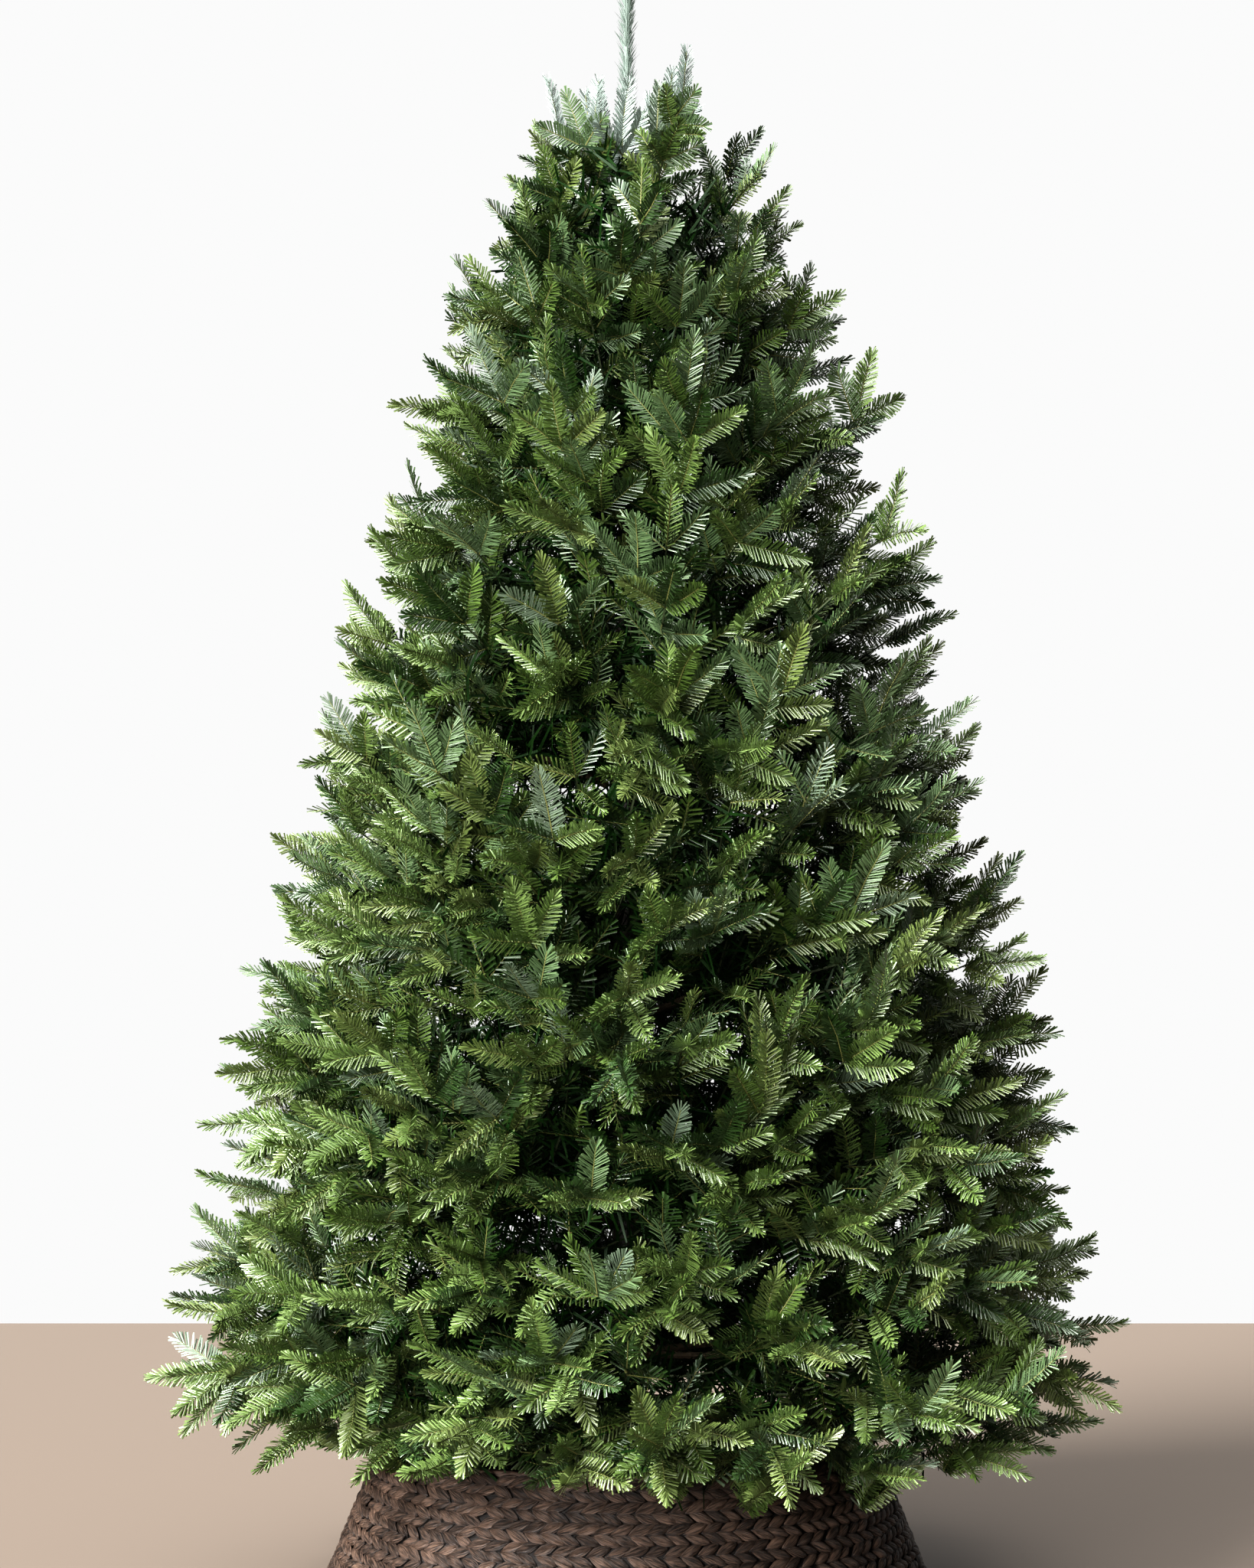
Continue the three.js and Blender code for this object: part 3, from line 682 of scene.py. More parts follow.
def grow_tip(limb, back, forward, length, kind):
    """Adds a tip that leaves the twig at a distance back from its end, unless the twig is too short."""
    if limb["group"] >= OPEN_TIERS and kind == "inner":
        kind = "side"
    share = 1 - back / limb["length"]
    if share < SHORTEST_SHARE:
        return
    base = limb_point(limb, share) if back > 0 else limb["end"]
    end = base + forward * length
    short = CROWN_FLOOR["pole"] + CROWN_FLOOR["slope"] * hypot(end[0], end[1]) - end[2]
    if short > 0:
        forward = unit(forward + np.array([0, 0, short / length]))
    sprigs.append(
        {
            "base": base,
            "forward": forward,
            "normal": unit(limb["up"] - forward * np.dot(limb["up"], forward)),
            "length": length,
            "group": limb["group"],
            "kind": kind,
            "size": 1.0 if kind == "brush" else shrunk(base[2], SMALLEST["needle"]),
        }
    )


def finish_limb(limb, tip, forward, length):
    """The twig bends out of its fork and ends where its last tip starts."""
    limb["end"] = tip - forward * length
    limb["length"] = float(np.linalg.norm(limb["end"] - limb["fork"]))
    limb["bend"] = limb["end"] - limb["heading"] * LIMB_BEND * limb["length"]
    limb["across"], limb["up"] = cross_directions(limb["heading"], limb["roll"] * FAN_ROLL)
    limbs.append(limb)


def between(low, high):
    return random.uniform(low, high)


def radians_between(low, high):
    return radians(random.uniform(low, high))


def fanned(limb, forward, side, pair):
    swing = side * radians_between(*pair["swing"])
    return pitched(limb, forward, swing, radians_between(*pair["lift"]))


def upright_limb(limb):
    """Round the leader single tips stand nearly upright, with a shorter pair at their foot."""
    forward = unit(limb["heading"] * UPRIGHT_SPREAD + np.array([0, 0, 1.0]))
    length = between(*UPRIGHT_LENGTH)
    finish_limb(limb, limb["tip"], forward, length)
    grow_tip(limb, 0, forward, length, "brush")
    for side in (-1, 1):
        fan = fanned(limb, forward, side, UPRIGHT_PAIR)
        back = between(*UPRIGHT_PAIR["back"])
        grow_tip(limb, back, fan, length * between(*UPRIGHT_PAIR["share"]), "brush")


def leader_shoots():
    for shoot in range(SHOOTS):
        azimuth = tau * (shoot + stray(SHOOT_PLACE["step"])) / SHOOTS
        yield {
            "tip": polar(between(*SHOOT_PLACE["reach"]), azimuth, between(*SHOOT_PLACE["height"])),
            "heading": heading(azimuth, radians_between(*SHOOT_PLACE["rise"])),
            "roll": stray(ROLL),
            "fork": np.array([0.0, 0.0, SHOOT_PLACE["fork"]]),
            "group": len(TIER_ROWS),
        }


def outer_limb(limb):
    """A last tip with a lifted one behind it, pairs of tips down both sides, and one far inside."""
    lean = random.choice(list(LEANS), p=LEAN_ODDS)
    pitch = {name: radians_between(*swing) for name, swing in LEANS.items()}[lean]
    size = shrunk(limb["tip"][2], SMALLEST["tip"])
    length = between(*LAST_LENGTH) * size
    upward = np.array([0, 0, 1.0]) - limb["heading"] * limb["heading"][2]
    upward = upward / max(np.linalg.norm(upward), 1e-6)
    forward = limb["heading"] * cos(pitch) + upward * sin(pitch)
    finish_limb(limb, limb["tip"], forward, length)
    grow_tip(limb, 0, forward, length, "tip")
    lift = random.choice([-1, 1], p=[0.5, 0.5]) * radians_between(*LIFTED_TIP["lift"])
    back = between(*LIFTED_TIP["back"])
    lifted = pitched(limb, forward, radians_between(*LIFTED_TIP["swing"]), lift)
    grow_tip(limb, back, lifted, between(*LIFTED_TIP["length"]) * size, "tip")
    for side in (-1, 1):
        fan = fanned(limb, forward, side, END_PAIR)
        grow_tip(limb, END_PAIR["back"], fan, length * between(*END_PAIR["share"]), "tip")
        back = between(*NEXT_PAIR["back"])
        fan = fanned(limb, forward, side, NEXT_PAIR)
        grow_tip(limb, back, fan, between(*NEXT_PAIR["length"]) * size, "tip")
        back += between(*LOW_PAIR["further"])
        fan = fanned(limb, limb["heading"], side, LOW_PAIR)
        grow_tip(limb, back, fan, between(*LOW_PAIR["length"]), "side")
        if size < CROWDED_SIZE:
            fan = fanned(limb, forward, side, CROWDED_PAIR)
            back = between(*CROWDED_PAIR["back"])
            grow_tip(limb, back, fan, between(*CROWDED_PAIR["length"]), "tip")
    fan = fanned(limb, limb["heading"], random.choice([-1, 1]), INNER_TIP)
    grow_tip(limb, between(*INNER_TIP["back"]), fan, between(*INNER_TIP["length"]), "inner")


def fill_limb(limb):
    length = between(*FILL_LENGTH)
    finish_limb(limb, limb["tip"], limb["heading"], length)
    grow_tip(limb, 0, limb["heading"], length, limb["kind"])
    for side in (-1, 1):
        fan = fanned(limb, limb["heading"], side, FILL_PAIR)
        grow_tip(limb, FILL_PAIR["back"], fan, length * between(*FILL_PAIR["share"]), limb["kind"])
    if random.uniform() < FILL_LIFT["odds"][limb["kind"]]:
        lift = random.choice([-1, 1]) * between(*FILL_LIFT["lift"])
        lifted = pitched(limb, limb["heading"], 0, radians(lift))
        grow_tip(limb, FILL_LIFT["back"], lifted, length, limb["kind"])


def fill_places(start, width, count, reaches):
    """The azimuths and reaches of one row of filling twigs, with one more at the sector's side."""
    places = [(start + width * (column + between(*FILL_STEP)) / count, reaches) for column in range(count)]
    return places + [(start, SIDE_REACH)]


def fill_limbs():
    """Shorter twigs between the rows of the outer ones, over each tier's last row, and at its sides."""
    for tier, rows in enumerate(TIER_ROWS):
        heights = [(low[0] + high[0]) / 2 for low, high in zip(rows, rows[1:])] + [rows[-1][0] + FILL_OVER]
        for _, start, width, fork in sector_spans(tier):
            for row, height in enumerate(heights):
                last = row == len(rows) - 1
                places = fill_places(start, width, rows[row][1] + last, OVER_REACH if last else FILL_REACH)
                for azimuth, reaches in places:
                    rise = radians(tip_rise(height)) + radians_between(*FILL_STRAY["rise"])
                    reach = crown_radius(height) * between(*reaches)
                    yield {
                        "tip": polar(reach, azimuth, height + stray(FILL_STRAY["height"])),
                        "heading": heading(azimuth, rise),
                        "roll": stray(ROLL),
                        "fork": fork,
                        "group": tier,
                        "kind": "side" if last else "inner",
                    }


limbs = []
sprigs = []
random = np.random.default_rng(7)
for limb in crown_limbs():
    if limb["tip"][2] > UPRIGHT_HEIGHT:
        upright_limb(limb)
    else:
        outer_limb(limb)
for limb in leader_shoots():
    upright_limb(limb)
for limb in fill_limbs():
    fill_limb(limb)

GROUP_NAMES = [f"tier{tier + 1}" for tier in range(len(TIER_ROWS))] + ["top"]
GROUP_NODES = [
    [f"foliage_{name}_{sector + 1}" for sector in range(sectors)]
    for name, sectors in zip(GROUP_NAMES, TIER_SECTORS)
] + [["foliage_top"]]


def sticks(points, radii, across, up):
    """Three-sided tapering sticks: points (n, k, 3), radii (k,) or (n, k), across and up (n, 3)."""
    count, stations = points.shape[:2]
    radii = np.broadcast_to(radii, (count, stations))
    turn = (np.array([0.5, 7 / 6, 11 / 6]) * pi)[None, None, :, None]
    ring = across[:, None, None] * np.cos(turn) + up[:, None, None] * np.sin(turn)
    tube = points[:, :, None] + ring * radii[:, :, None, None]
    walls = grid_triangles(stations, 3, closed=True)
    last = (stations - 1) * 3
    one = np.concatenate([walls, [[0, 2, 1], [last, last + 1, last + 2]]])
    triangles = one[None] + (np.arange(count) * stations * 3)[:, None, None]
    return tube.reshape(-1, 3), triangles.reshape(-1, 3)


def mottled(name, low, high, roughness, scale, **constants):
    surface = Surface(name, **constants)
    surface.patchy(surface.noise(surface.place(), scale), low, high, roughness)
    return surface.material


twig_green = mottled("twig_wire", TWIG_DARK, TWIG_LIGHT, 0.7, 50.0)
for group, nodes in enumerate(GROUP_NODES):
    mine = [limb for limb in limbs if limb["group"] == group]
    shares = np.linspace(0, 1, TWIG_STATIONS)
    paths = np.array([[limb_point(limb, share) for share in shares] for limb in mine])
    across = np.array([limb["across"] for limb in mine])
    up = np.array([limb["up"] for limb in mine])
    twigs = sticks(paths, np.linspace(*TWIG_RADII, TWIG_STATIONS), across, up)
    mesh_piece(f"twigs_{GROUP_NAMES[group]}", *twigs, twig_green, "bough", nodes, smooth=False)


# Needle tips.
# Moulded plastic tips: a tan stem with rows of soft flat needles at its sides and top, swept forward.
# Several greens are mixed through the tree; the bluer and paler ones show the needles' undersides.
# The darkest green is partly a real tone and partly painted shade: most inner tips get it, and it grows
# commoner higher up.
NEEDLE_SHAPES = {
    "plump": {"length": 0.0204, "width": 0.0031, "pitch": 0.0047, "sweep": 56, "closing": 0.8},
    "flat": {"length": 0.022, "width": 0.0029, "pitch": 0.0039, "sweep": 58, "closing": 0.8},
    "side": {"length": 0.02, "width": 0.0027, "pitch": 0.006, "sweep": 55, "closing": 0.8},
    "inner": {"length": 0.023, "width": 0.0054, "pitch": 0.0088, "sweep": 58, "closing": 0.8},
    "brush": {"length": 0.02, "width": 0.0022, "pitch": 0.0035, "sweep": 40, "closing": 0.35},
}
ROWS = {
    "plump": [(-1, -38), (1, -38), (-1, -2), (1, -2), (-1, 36), (1, 36), (0, 82)],
    "flat": [(-1, 0), (1, 0), (-1, 26), (1, 26)],
    "side": [(-1, -22), (1, -22), (-1, 26), (1, 26), (0, 82)],
    "inner": [(-1, 4), (1, 4), (0, 80)],
    "brush": [(-1, -30), (1, -30), (-1, 10), (1, 10), (-1, 50), (1, 50), (0, 90)],
}
TIP_OVER = 0.013
NEEDLE_ROUNDING = 0.6
TIP_ROUNDING = 0.55
TINTS = {
    "fresh": (0.1, 0.15, 0.04),
    "olive": (0.098, 0.132, 0.036),
    "mid": (0.063, 0.104, 0.019),
    "deep_and_shade": (0.016, 0.043, 0.004),
    "blue": (0.082, 0.129, 0.056),
    "pale": (0.11, 0.147, 0.1),
    "silver": (0.23, 0.275, 0.245),
}
GREENS = ["fresh", "olive", "mid", "deep_and_shade"]
LOW_ODDS = np.array([0.32, 0.2, 0.33, 0.15])
# Higher up, the odds move from the fresh greens to the darker ones: painted shade for the crown's upper part.
PAINTED_SHADE_ODDS_CHANGE = np.array([-0.18, -0.1, 0.08, 0.2])
PAINTED_SHADE_HEIGHTS = (1.1, 1.9)
TOP_GREEN_HEIGHT = 1.85
SILVER_ODDS = 0.7
# Odds that an inner tip gets the darkest green, as painted shade for the inside of the crown.
INNER_PAINTED_SHADE_ODDS = 0.8
UNDERSIDE_ODDS = {"least": 0.05, "more": 0.55, "at_top": 0.5}
PALE_ODDS = {"at_top": 0.4, "below": 0.15}
NEEDLE_GLOSS = 0.95
NEEDLE_COAT = 0.58
COAT_ROUGHNESS = 0.44
NEEDLE_STRAY = {"step": 0.4, "row": 7, "end": 26, "sweep": 3, "length": (0.92, 1.06), "twist": 0.14}
NEEDLE_STRAY["curl"] = (0.03, 0.05)
WIDEST_SWEEP = 1.06
CLOSING_CURVE = 1.4
SHORTER_AT_TIP = 0.3
GROWING_LONG = {"foot": 0.62, "rate": 3.2}
UPPER_ROWS = {"above": 0.4, "closer": 0.25, "shorter": 0.12}
CLOSING_START = 0.64
BLADE_ENDS = (0.6, 0.8)
STEM_RADIUS = 0.001
STEM_TAPER = 0.0005
STEM_DARK = (0.1, 0.1, 0.034)
STEM_LIGHT = (0.16, 0.16, 0.056)
TIP_BENDS = {"side": 0.07, "up": (0.02, 0.1)}


def tint_of(sprig):
    outward = sprig["base"] * [1, 1, 0]
    outward = outward / max(np.linalg.norm(outward), 1e-6)
    roll = random.uniform()
    if sprig["kind"] == "brush":
        return "silver" if roll < SILVER_ODDS else "pale"
    # Most inner tips get the darkest green: painted shade for the inside of the crown.
    if sprig["kind"] == "inner":
        return "deep_and_shade" if roll < INNER_PAINTED_SHADE_ODDS else "mid"
    at_top = sprig["base"][2] > TOP_GREEN_HEIGHT
    under = UNDERSIDE_ODDS["at_top"] if at_top else max(0.0, -float(np.dot(sprig["normal"], outward)))
    if roll < UNDERSIDE_ODDS["least"] + UNDERSIDE_ODDS["more"] * under:
        return "pale" if random.uniform() < PALE_ODDS["at_top" if at_top else "below"] else "blue"
    # Between these heights the odds shift towards the darker greens, as painted shade for the upper crown.
    high = float(np.interp(sprig["base"][2], PAINTED_SHADE_HEIGHTS, (0, 1)))
    return random.choice(GREENS, p=LOW_ODDS + high * PAINTED_SHADE_ODDS_CHANGE)


def each(tips, key):
    """One value or vector of every tip, shaped to spread over its rows and stations."""
    return np.array([tip[key] for tip in tips]).reshape(len(tips), 1, 1, -1)


def needles(tips, kind):
    """All needles of many tips at once, each a flat blade of two faces with a blunt end."""
    habit = NEEDLE_SHAPES[kind]
    base, forward, normal, bend = (each(tips, key) for key in ("base", "forward", "normal", "bend"))
    side = np.cross(forward, normal)
    length = each(tips, "length") - TIP_OVER
    stations = int(length.max() / habit["pitch"])
    shape = (len(tips), len(ROWS[kind]), stations, 1)
    hand, angle = np.array(ROWS[kind]).T[:, None, :, None, None]
    stagger = 0.5 * (np.arange(shape[1]) % 2)[None, :, None, None]
    step = np.arange(stations)[None, None, :, None] + stagger + random.uniform(0, NEEDLE_STRAY["step"], shape)
    share = step * habit["pitch"] / length
    closing = np.clip((share - CLOSING_START) / (1 - CLOSING_START), 0, 1)
    raised = angle + random.normal(0, NEEDLE_STRAY["row"], shape)
    lift = np.radians(raised + random.normal(0, NEEDLE_STRAY["end"], shape) * closing)
    upper = np.clip(np.radians(raised) - UPPER_ROWS["above"], 0, 1)
    sweep = habit["sweep"] * (WIDEST_SWEEP - habit["closing"] * closing**CLOSING_CURVE)
    sweep = np.radians(sweep + random.normal(0, NEEDLE_STRAY["sweep"], shape)) - UPPER_ROWS["closer"] * upper
    root = base + forward * length * share + bend * length * share**2
    ahead = units(forward + 2 * bend * share)
    outward = side * hand * np.cos(lift) + normal * np.sin(lift)
    way = units(ahead * np.cos(sweep) + outward * np.sin(sweep))
    full = np.clip(GROWING_LONG["foot"] + GROWING_LONG["rate"] * share, 0, 1)
    long = habit["length"] * each(tips, "size") * full * (1 - SHORTER_AT_TIP * closing)
    long = long * random.uniform(*NEEDLE_STRAY["length"], shape) * (1 - UPPER_ROWS["shorter"] * upper)
    flat = np.cross(way, side * hand * -np.sin(lift) + normal * np.cos(lift))
    flat /= np.maximum(np.linalg.norm(flat, axis=-1, keepdims=True), 1e-6)
    twist = random.normal(0, NEEDLE_STRAY["twist"], shape)
    flat = flat * np.cos(twist) + np.cross(way, flat) * np.sin(twist)
    wide = flat * habit["width"] / 2
    tip = root + way * long + normal * long * random.normal(*NEEDLE_STRAY["curl"], shape)
    foot_wide, end_wide = (wide * part for part in BLADE_ENDS)
    corners = [root - foot_wide, root + foot_wide, tip + end_wide, tip - end_wide]
    crowned = np.cross(flat, way) + outward * TIP_ROUNDING
    left, right = crowned - flat * NEEDLE_ROUNDING, crowned + flat * NEEDLE_ROUNDING
    kept = np.broadcast_to(share < 1.0, shape)[..., 0]
    points = np.stack(np.broadcast_arrays(*corners), axis=-2)[kept]
    normals = np.stack(np.broadcast_arrays(left, right, right, left), axis=-2)[kept]
    return points.reshape(-1, 3), blade_triangles(len(points)), normals.reshape(-1, 3)


def blade_triangles(count):
    """Two triangles to each of many blades of four corners."""
    corners = np.array([[0, 1, 2], [0, 2, 3]])[None] + (np.arange(count) * 4)[:, None, None]
    return corners.reshape(-1, 3)


def round_off(piece, normals):
    """Shades each flat blade as the rounded needle that it stands for."""
    layer = piece.data.attributes.new("custom_normal", "FLOAT_VECTOR", "POINT")
    layer.data.foreach_set("vector", units(normals).astype(np.float32).ravel())


def stems(tips, shares):
    base, forward, up, bend = (each(tips, key)[:, 0] for key in ("base", "forward", "normal", "bend"))
    shares = np.array(shares)[None, :, None]
    paths = base + (forward * shares + bend * shares**2) * (each(tips, "length")[:, 0] - TIP_OVER)
    radii = STEM_RADIUS - STEM_TAPER * shares[:, :, 0]
    return sticks(paths, radii, np.cross(forward, up)[:, 0], up[:, 0])


def needle_material(name, color):
    """Moulded plastic of one even colour, with a sheen that varies from spray to spray."""
    plastic = Surface(
        name,
        Base_Color=(*color, 1),
        Specular_IOR_Level=NEEDLE_GLOSS,
        Coat_Weight=NEEDLE_COAT,
        Coat_Roughness=COAT_ROUGHNESS,
    )
    plastic.feed(Roughness=plastic.noise(plastic.place(), 22.0, 1.0) * 0.24 + 0.34)
    return plastic.material


stem_tan = mottled("tip_stem", STEM_DARK, STEM_LIGHT, 0.6, 30.0)
needle_plastic = {name: needle_material(f"needles_{name}", color) for name, color in TINTS.items()}
for sprig in sprigs:
    sprig["tint"] = tint_of(sprig)
    if sprig["kind"] == "tip":
        sprig["kind"] = "flat" if sprig["tint"] in ("blue", "pale") else "plump"
    sway = np.cross(sprig["forward"], sprig["normal"]) * random.normal(0, TIP_BENDS["side"])
    sprig["bend"] = sprig["normal"] * random.normal(*TIP_BENDS["up"]) + sway
for group, nodes in enumerate(GROUP_NODES):
    mine = [sprig for sprig in sprigs if sprig["group"] == group]
    for tint, plastic in needle_plastic.items():
        parts = []
        for kind in ROWS:
            chosen = [sprig for sprig in mine if sprig["tint"] == tint and sprig["kind"] == kind]
            if chosen:
                parts.append(needles(chosen, kind))
        if parts:
            slot = "top_needles" if group == len(GROUP_NODES) - 1 else "needles"
            sprays = joined(*[part[:2] for part in parts])
            piece = mesh_piece(f"needles_{tint}_{GROUP_NAMES[group]}", *sprays, plastic, slot, nodes)
            round_off(piece, np.concatenate([part[2] for part in parts]))
    inside = [sprig for sprig in mine if sprig["kind"] == "inner"]
    outside = [sprig for sprig in mine if sprig["kind"] != "inner"]
    parts = [stems(inside, [0, 1])] if inside else []
    parts.append(stems(outside, [0, 0.55, 1]))
    mesh_piece(f"stems_{GROUP_NAMES[group]}", *joined(*parts), stem_tan, "bough", nodes, smooth=False)


# Film needles inside the crown.
# Cut film garland, thin and very dark green, wound round most of each twig and round short wires that stand
# out from the pole. The film is real, but its near-black green is painted shade: it fills the hollow behind
# the tips with the dark of a dense crown, so that little shows through.
FILM_LENGTH = 0.046
FILM_WIDTH = 0.0045
FILM_STATIONS = 9
FILM_ROWS = 3
FILM_LEAN = 66
FILM_END = 0.5
FILM_STRAY = {"turn": 0.6, "lean": 12, "length": (0.7, 1.15)}
FILM_SHARES = {"start": 0.06, "end": 0.86, "top_end": 0.34}
# Near-black greens of the film: painted shade for the hollow inside the crown.
FILM_DARK = (0.004, 0.015, 0.002)
FILM_LIGHT = (0.008, 0.027, 0.004)
COLLAR_STOPS = [0.36] + [height + 0.06 for _, height in FORKS] + [1.93]
COLLAR_STEP = 0.045
COLLAR_SPOKES = 14
COLLAR_REACH = 0.5
COLLAR_START = 0.02
COLLAR_BARE = 0.1
COLLAR_STRAY = {"step": 0.3, "rise": (-5, 40)}
# The film's near-black colour is painted shade for the inside of the crown.
film_painted_shade = mottled("film_needles_painted_shade", FILM_DARK, FILM_LIGHT, 0.5, 12.0, Specular_IOR_Level=0.15)


def film(path, ahead):
    """Film needles all round many wires at once; path and ahead are (wires, stations, 3)."""
    ahead = units(ahead)
    across = units(np.cross(ahead, [0.13, 0.21, 0.97]))
    up = np.cross(across, ahead)
    shape = (*path.shape[:2], FILM_ROWS, 1)
    turn = tau * (np.arange(FILM_ROWS)[None, None, :, None] / FILM_ROWS)
    turn = turn + stray(FILM_STRAY["turn"], shape)
    lean = np.radians(FILM_LEAN + random.normal(0, FILM_STRAY["lean"], shape))
    radial = across[:, :, None] * np.cos(turn) + up[:, :, None] * np.sin(turn)
    way = ahead[:, :, None] * np.cos(lean) + radial * np.sin(lean)
    wide = units(np.cross(way, random.normal(0, 1, (*shape[:3], 3)))) * FILM_WIDTH / 2
    root = path[:, :, None]
    tip = root + way * FILM_LENGTH * random.uniform(*FILM_STRAY["length"], shape)
    corners = [root - wide, root + wide, tip + wide * FILM_END, tip - wide * FILM_END]
    points = np.stack(corners, axis=-2).reshape(-1, 4, 3)
    return points.reshape(-1, 3), blade_triangles(len(points))


def collar_wires(low, high):
    """Short wires that stand out all round the pole between the tiers."""
    paths = []
    for row, height in enumerate(np.arange(low, high, COLLAR_STEP)):
        reach = COLLAR_REACH * crown_radius(height)
        for spoke in range(COLLAR_SPOKES):
            step = spoke + 0.5 * (row % 2) + stray(COLLAR_STRAY["step"])
            azimuth = tau * step / COLLAR_SPOKES
            start = polar(COLLAR_START, azimuth, height)
            end = start + heading(azimuth, radians_between(*COLLAR_STRAY["rise"])) * reach
            paths.append(start + (end - start) * np.linspace(COLLAR_BARE, 1, FILM_STATIONS)[:, None])
    return np.array(paths)


for group, nodes in enumerate(GROUP_NODES):
    mine = [limb for limb in limbs if limb["group"] == group]
    last_share = FILM_SHARES["end" if group < len(FORKS) else "top_end"]
    shares = np.linspace(FILM_SHARES["start"], last_share, FILM_STATIONS)
    path = np.array([[limb_point(limb, share) for share in shares] for limb in mine])
    ahead = np.array([[limb_point(limb, share + 0.02) for share in shares] for limb in mine]) - path
    collar = collar_wires(*COLLAR_STOPS[group : group + 2])
    path = np.concatenate([path, collar])
    ahead = np.concatenate([ahead, np.gradient(collar, axis=1)])
    mesh_piece(f"film_{GROUP_NAMES[group]}", *film(path, ahead), film_painted_shade, "needles", nodes, smooth=False)


# Leader.
# One long upright tip that ends the tree, thin and pale silver-green, with short needles all round it.
LEADER_FOOT = 1.98
LEADER_NEEDLE = 0.028
LEADER_LENGTHS = (0.85, 1.1)
LEADER_WIDTH = 0.0022
LEADER_FOOT_WIDTH = 0.6
LEADER_SHOULDER = 0.7
LEADER_COLOR = (0.2, 0.25, 0.215)
LEADER_LEANS = {"most": 31, "end": 14, "end_from": 0.95, "stray": 6}
LEADER_STATIONS = 92
LEADER_ROWS = 7
LEADER_SHARES = (0.02, 0.985)
LEADER_TOP_GAP = 0.022
LEADER_TURN = 2.4
LEADER_STEM = {"end_gap": 0.008, "radii": [0.006, 0.0016, 0.001]}
leader_plastic = needle_material("needles_leader", LEADER_COLOR)


def leader_needles():
    """Needles in a spiral up the leader, each a blade of three faces with a pointed end."""
    shape = (LEADER_STATIONS, LEADER_ROWS, 1)
    share = np.linspace(*LEADER_SHARES, LEADER_STATIONS)[:, None, None]
    turn = tau * np.arange(LEADER_ROWS)[None, :, None] / LEADER_ROWS
    turn = turn + LEADER_TURN * np.arange(LEADER_STATIONS)[:, None, None]
    lean = np.where(share > LEADER_LEANS["end_from"], LEADER_LEANS["end"], LEADER_LEANS["most"])
    lean = np.radians(lean + random.normal(0, LEADER_LEANS["stray"], shape))
    root = np.array([0, 0, 1.0]) * (LEADER_FOOT + (TREE_HEIGHT - LEADER_FOOT - LEADER_TOP_GAP) * share)
    radial = np.concatenate([np.cos(turn), np.sin(turn), 0 * turn], -1)
    around = np.concatenate([-np.sin(turn), np.cos(turn), 0 * turn], -1)
    way = np.array([0, 0, 1.0]) * np.cos(lean) + radial * np.sin(lean)
    long = LEADER_NEEDLE * random.uniform(*LEADER_LENGTHS, shape)
    wide = around * LEADER_WIDTH / 2
    foot = wide * LEADER_FOOT_WIDTH
    shoulder = root + way * long * LEADER_SHOULDER
    corners = [root - foot, root + foot, shoulder + wide, shoulder - wide, root + way * long]
    points = np.stack(np.broadcast_arrays(*corners), axis=-2).reshape(-1, 5, 3)
    faces = np.array([[0, 1, 2], [0, 2, 3], [3, 2, 4]])
    triangles = faces[None] + (np.arange(len(points)) * 5)[:, None, None]
    return points.reshape(-1, 3), triangles.reshape(-1, 3)


mesh_piece("leader_needles", *leader_needles(), leader_plastic, "top_needles", ["foliage_top"], smooth=False)
leader_heights = [POLE_TOP, LEADER_FOOT, TREE_HEIGHT - LEADER_STEM["end_gap"]]
leader_path = np.array([[[0, 0, height] for height in leader_heights]])
leader_sides = np.array([[1.0, 0, 0]]), np.array([[0, 1.0, 0]])
leader_stem = sticks(leader_path, np.array(LEADER_STEM["radii"]), *leader_sides)
mesh_piece("leader_stem", *leader_stem, stem_tan, "bough", ["foliage_top"], smooth=False)


# Floor and light.
# A plain matt floor in pale beige, with white all round. A broad sun from the upper left in front is
# the main light; a soft panel in front, a high sun and a weak one from behind lighten its shadows.
FLOOR_COLOR = (0.13, 0.102, 0.08)
FLOOR_HALF_WIDTH = 2.68
SURROUND_SEEN = (0.675, 0.675, 0.675, 1)
SURROUND_LIT = (1.0, 0.96, 0.82, 1)
SURROUND_STRENGTH = 0.04
SUNS = {
    "key": {"azimuth": -47, "elevation": 37, "spread": 28, "strength": 10.0},
    "overhead": {"azimuth": -30, "elevation": 70, "spread": 80, "strength": 2.4},
    "back": {"azimuth": 150, "elevation": 40, "spread": 110, "strength": 1.4},
}
PANEL_PLACE = np.array([-2.8, -5.8, 1.3])
PANEL_AIM = np.array([0, 0, 0.75])
PANEL_SIZE = 2.8
PANEL_POWER = 665

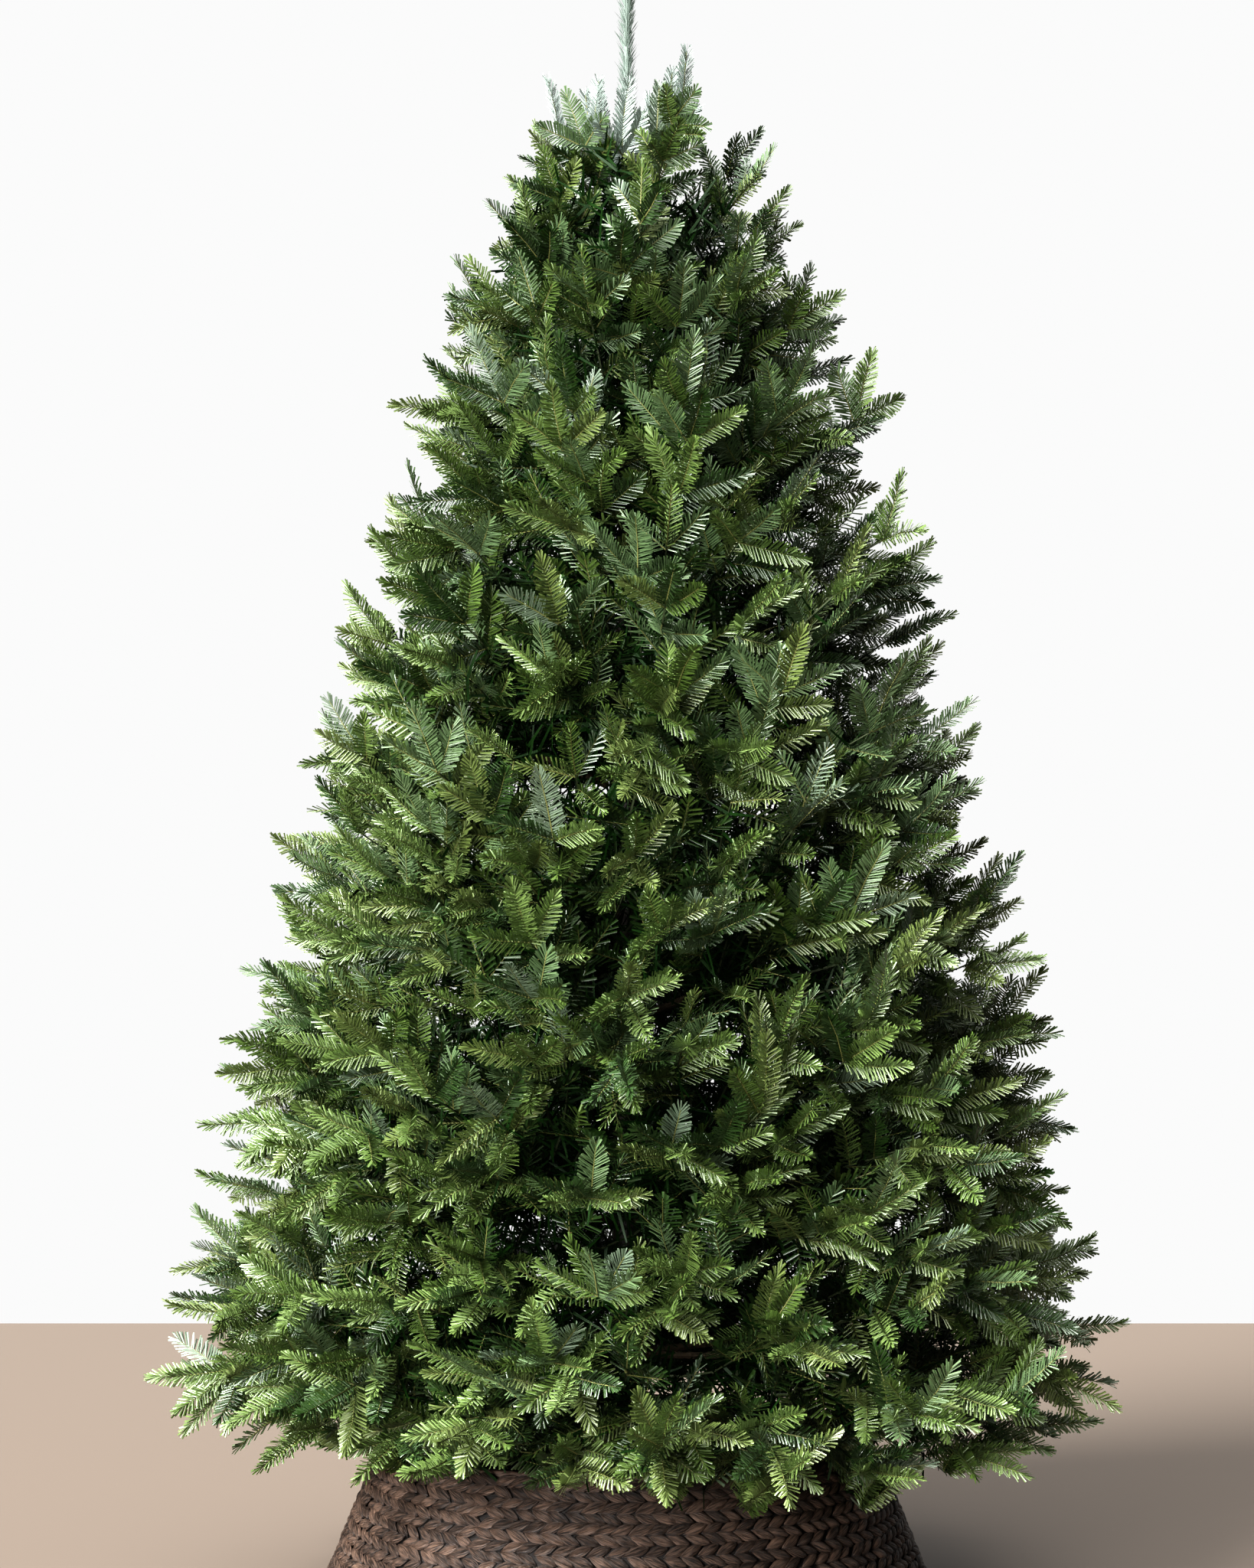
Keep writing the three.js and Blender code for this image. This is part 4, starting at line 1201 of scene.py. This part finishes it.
floor_mesh = bpy.data.meshes.new("pale_floor")
floor_corners = np.array([(-1, -1, 0), (1, -1, 0), (1, 1, 0), (-1, 1, 0)]) * FLOOR_HALF_WIDTH
floor_mesh.from_pydata(floor_corners, [], [(0, 1, 2, 3)])
floor_mesh.materials.append(Surface("pale_floor", Base_Color=(*FLOOR_COLOR, 1), Roughness=0.6).material)
added("pale_floor", floor_mesh)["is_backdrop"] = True

world = bpy.data.worlds.new("soft_white")
world.use_nodes = True
tree = world.node_tree
seen = tree.nodes["Background"]
seen.inputs["Color"].default_value = SURROUND_SEEN
lit = tree.nodes.new("ShaderNodeBackground")
lit.inputs["Color"].default_value = SURROUND_LIT
lit.inputs["Strength"].default_value = SURROUND_STRENGTH
rays = tree.nodes.new("ShaderNodeLightPath")
choice = tree.nodes.new("ShaderNodeMixShader")
tree.links.new(rays.outputs["Is Camera Ray"], choice.inputs[0])
tree.links.new(lit.outputs[0], choice.inputs[1])
tree.links.new(seen.outputs[0], choice.inputs[2])
tree.links.new(choice.outputs[0], tree.nodes["World Output"].inputs["Surface"])
bpy.context.scene.world = world


def lamp(name, kind, power, rotation):
    light = bpy.data.lights.new(name, kind)
    light.energy = power
    holder = added(name, light)
    holder.rotation_euler = rotation
    return holder


for name, sun in SUNS.items():
    turn = (radians(90 - sun["elevation"]), 0, radians(sun["azimuth"]))
    lamp(name, "SUN", sun["strength"], turn).data.angle = radians(sun["spread"])
aim = PANEL_AIM - PANEL_PLACE
turn = (acos(-aim[2] / np.linalg.norm(aim)), 0, atan2(aim[1], aim[0]) - pi / 2)
panel = lamp("fill", "AREA", PANEL_POWER, turn)
panel.location = PANEL_PLACE
panel.data.size = PANEL_SIZE


# Camera.
# The photograph's view: a 70 mm lens 4.28 m from the pole, 0.95 m above the floor, tilted up slightly.
CAMERA_DISTANCE = 4.28
CAMERA_HEIGHT = 0.95
CAMERA_TILT = 2.26
lens = bpy.data.cameras.new("camera")
lens.lens = 70
lens.sensor_width = 36
camera = added("camera", lens)
camera.location = (0, -CAMERA_DISTANCE, CAMERA_HEIGHT)
camera.rotation_euler = (radians(90 + CAMERA_TILT), 0, 0)
bpy.context.scene.camera = camera
bpy.context.scene.view_settings.view_transform = "Standard"
bpy.context.scene.view_settings.look = "High Contrast"

[[list(corner) for corner in box] for box in (size_before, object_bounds())]
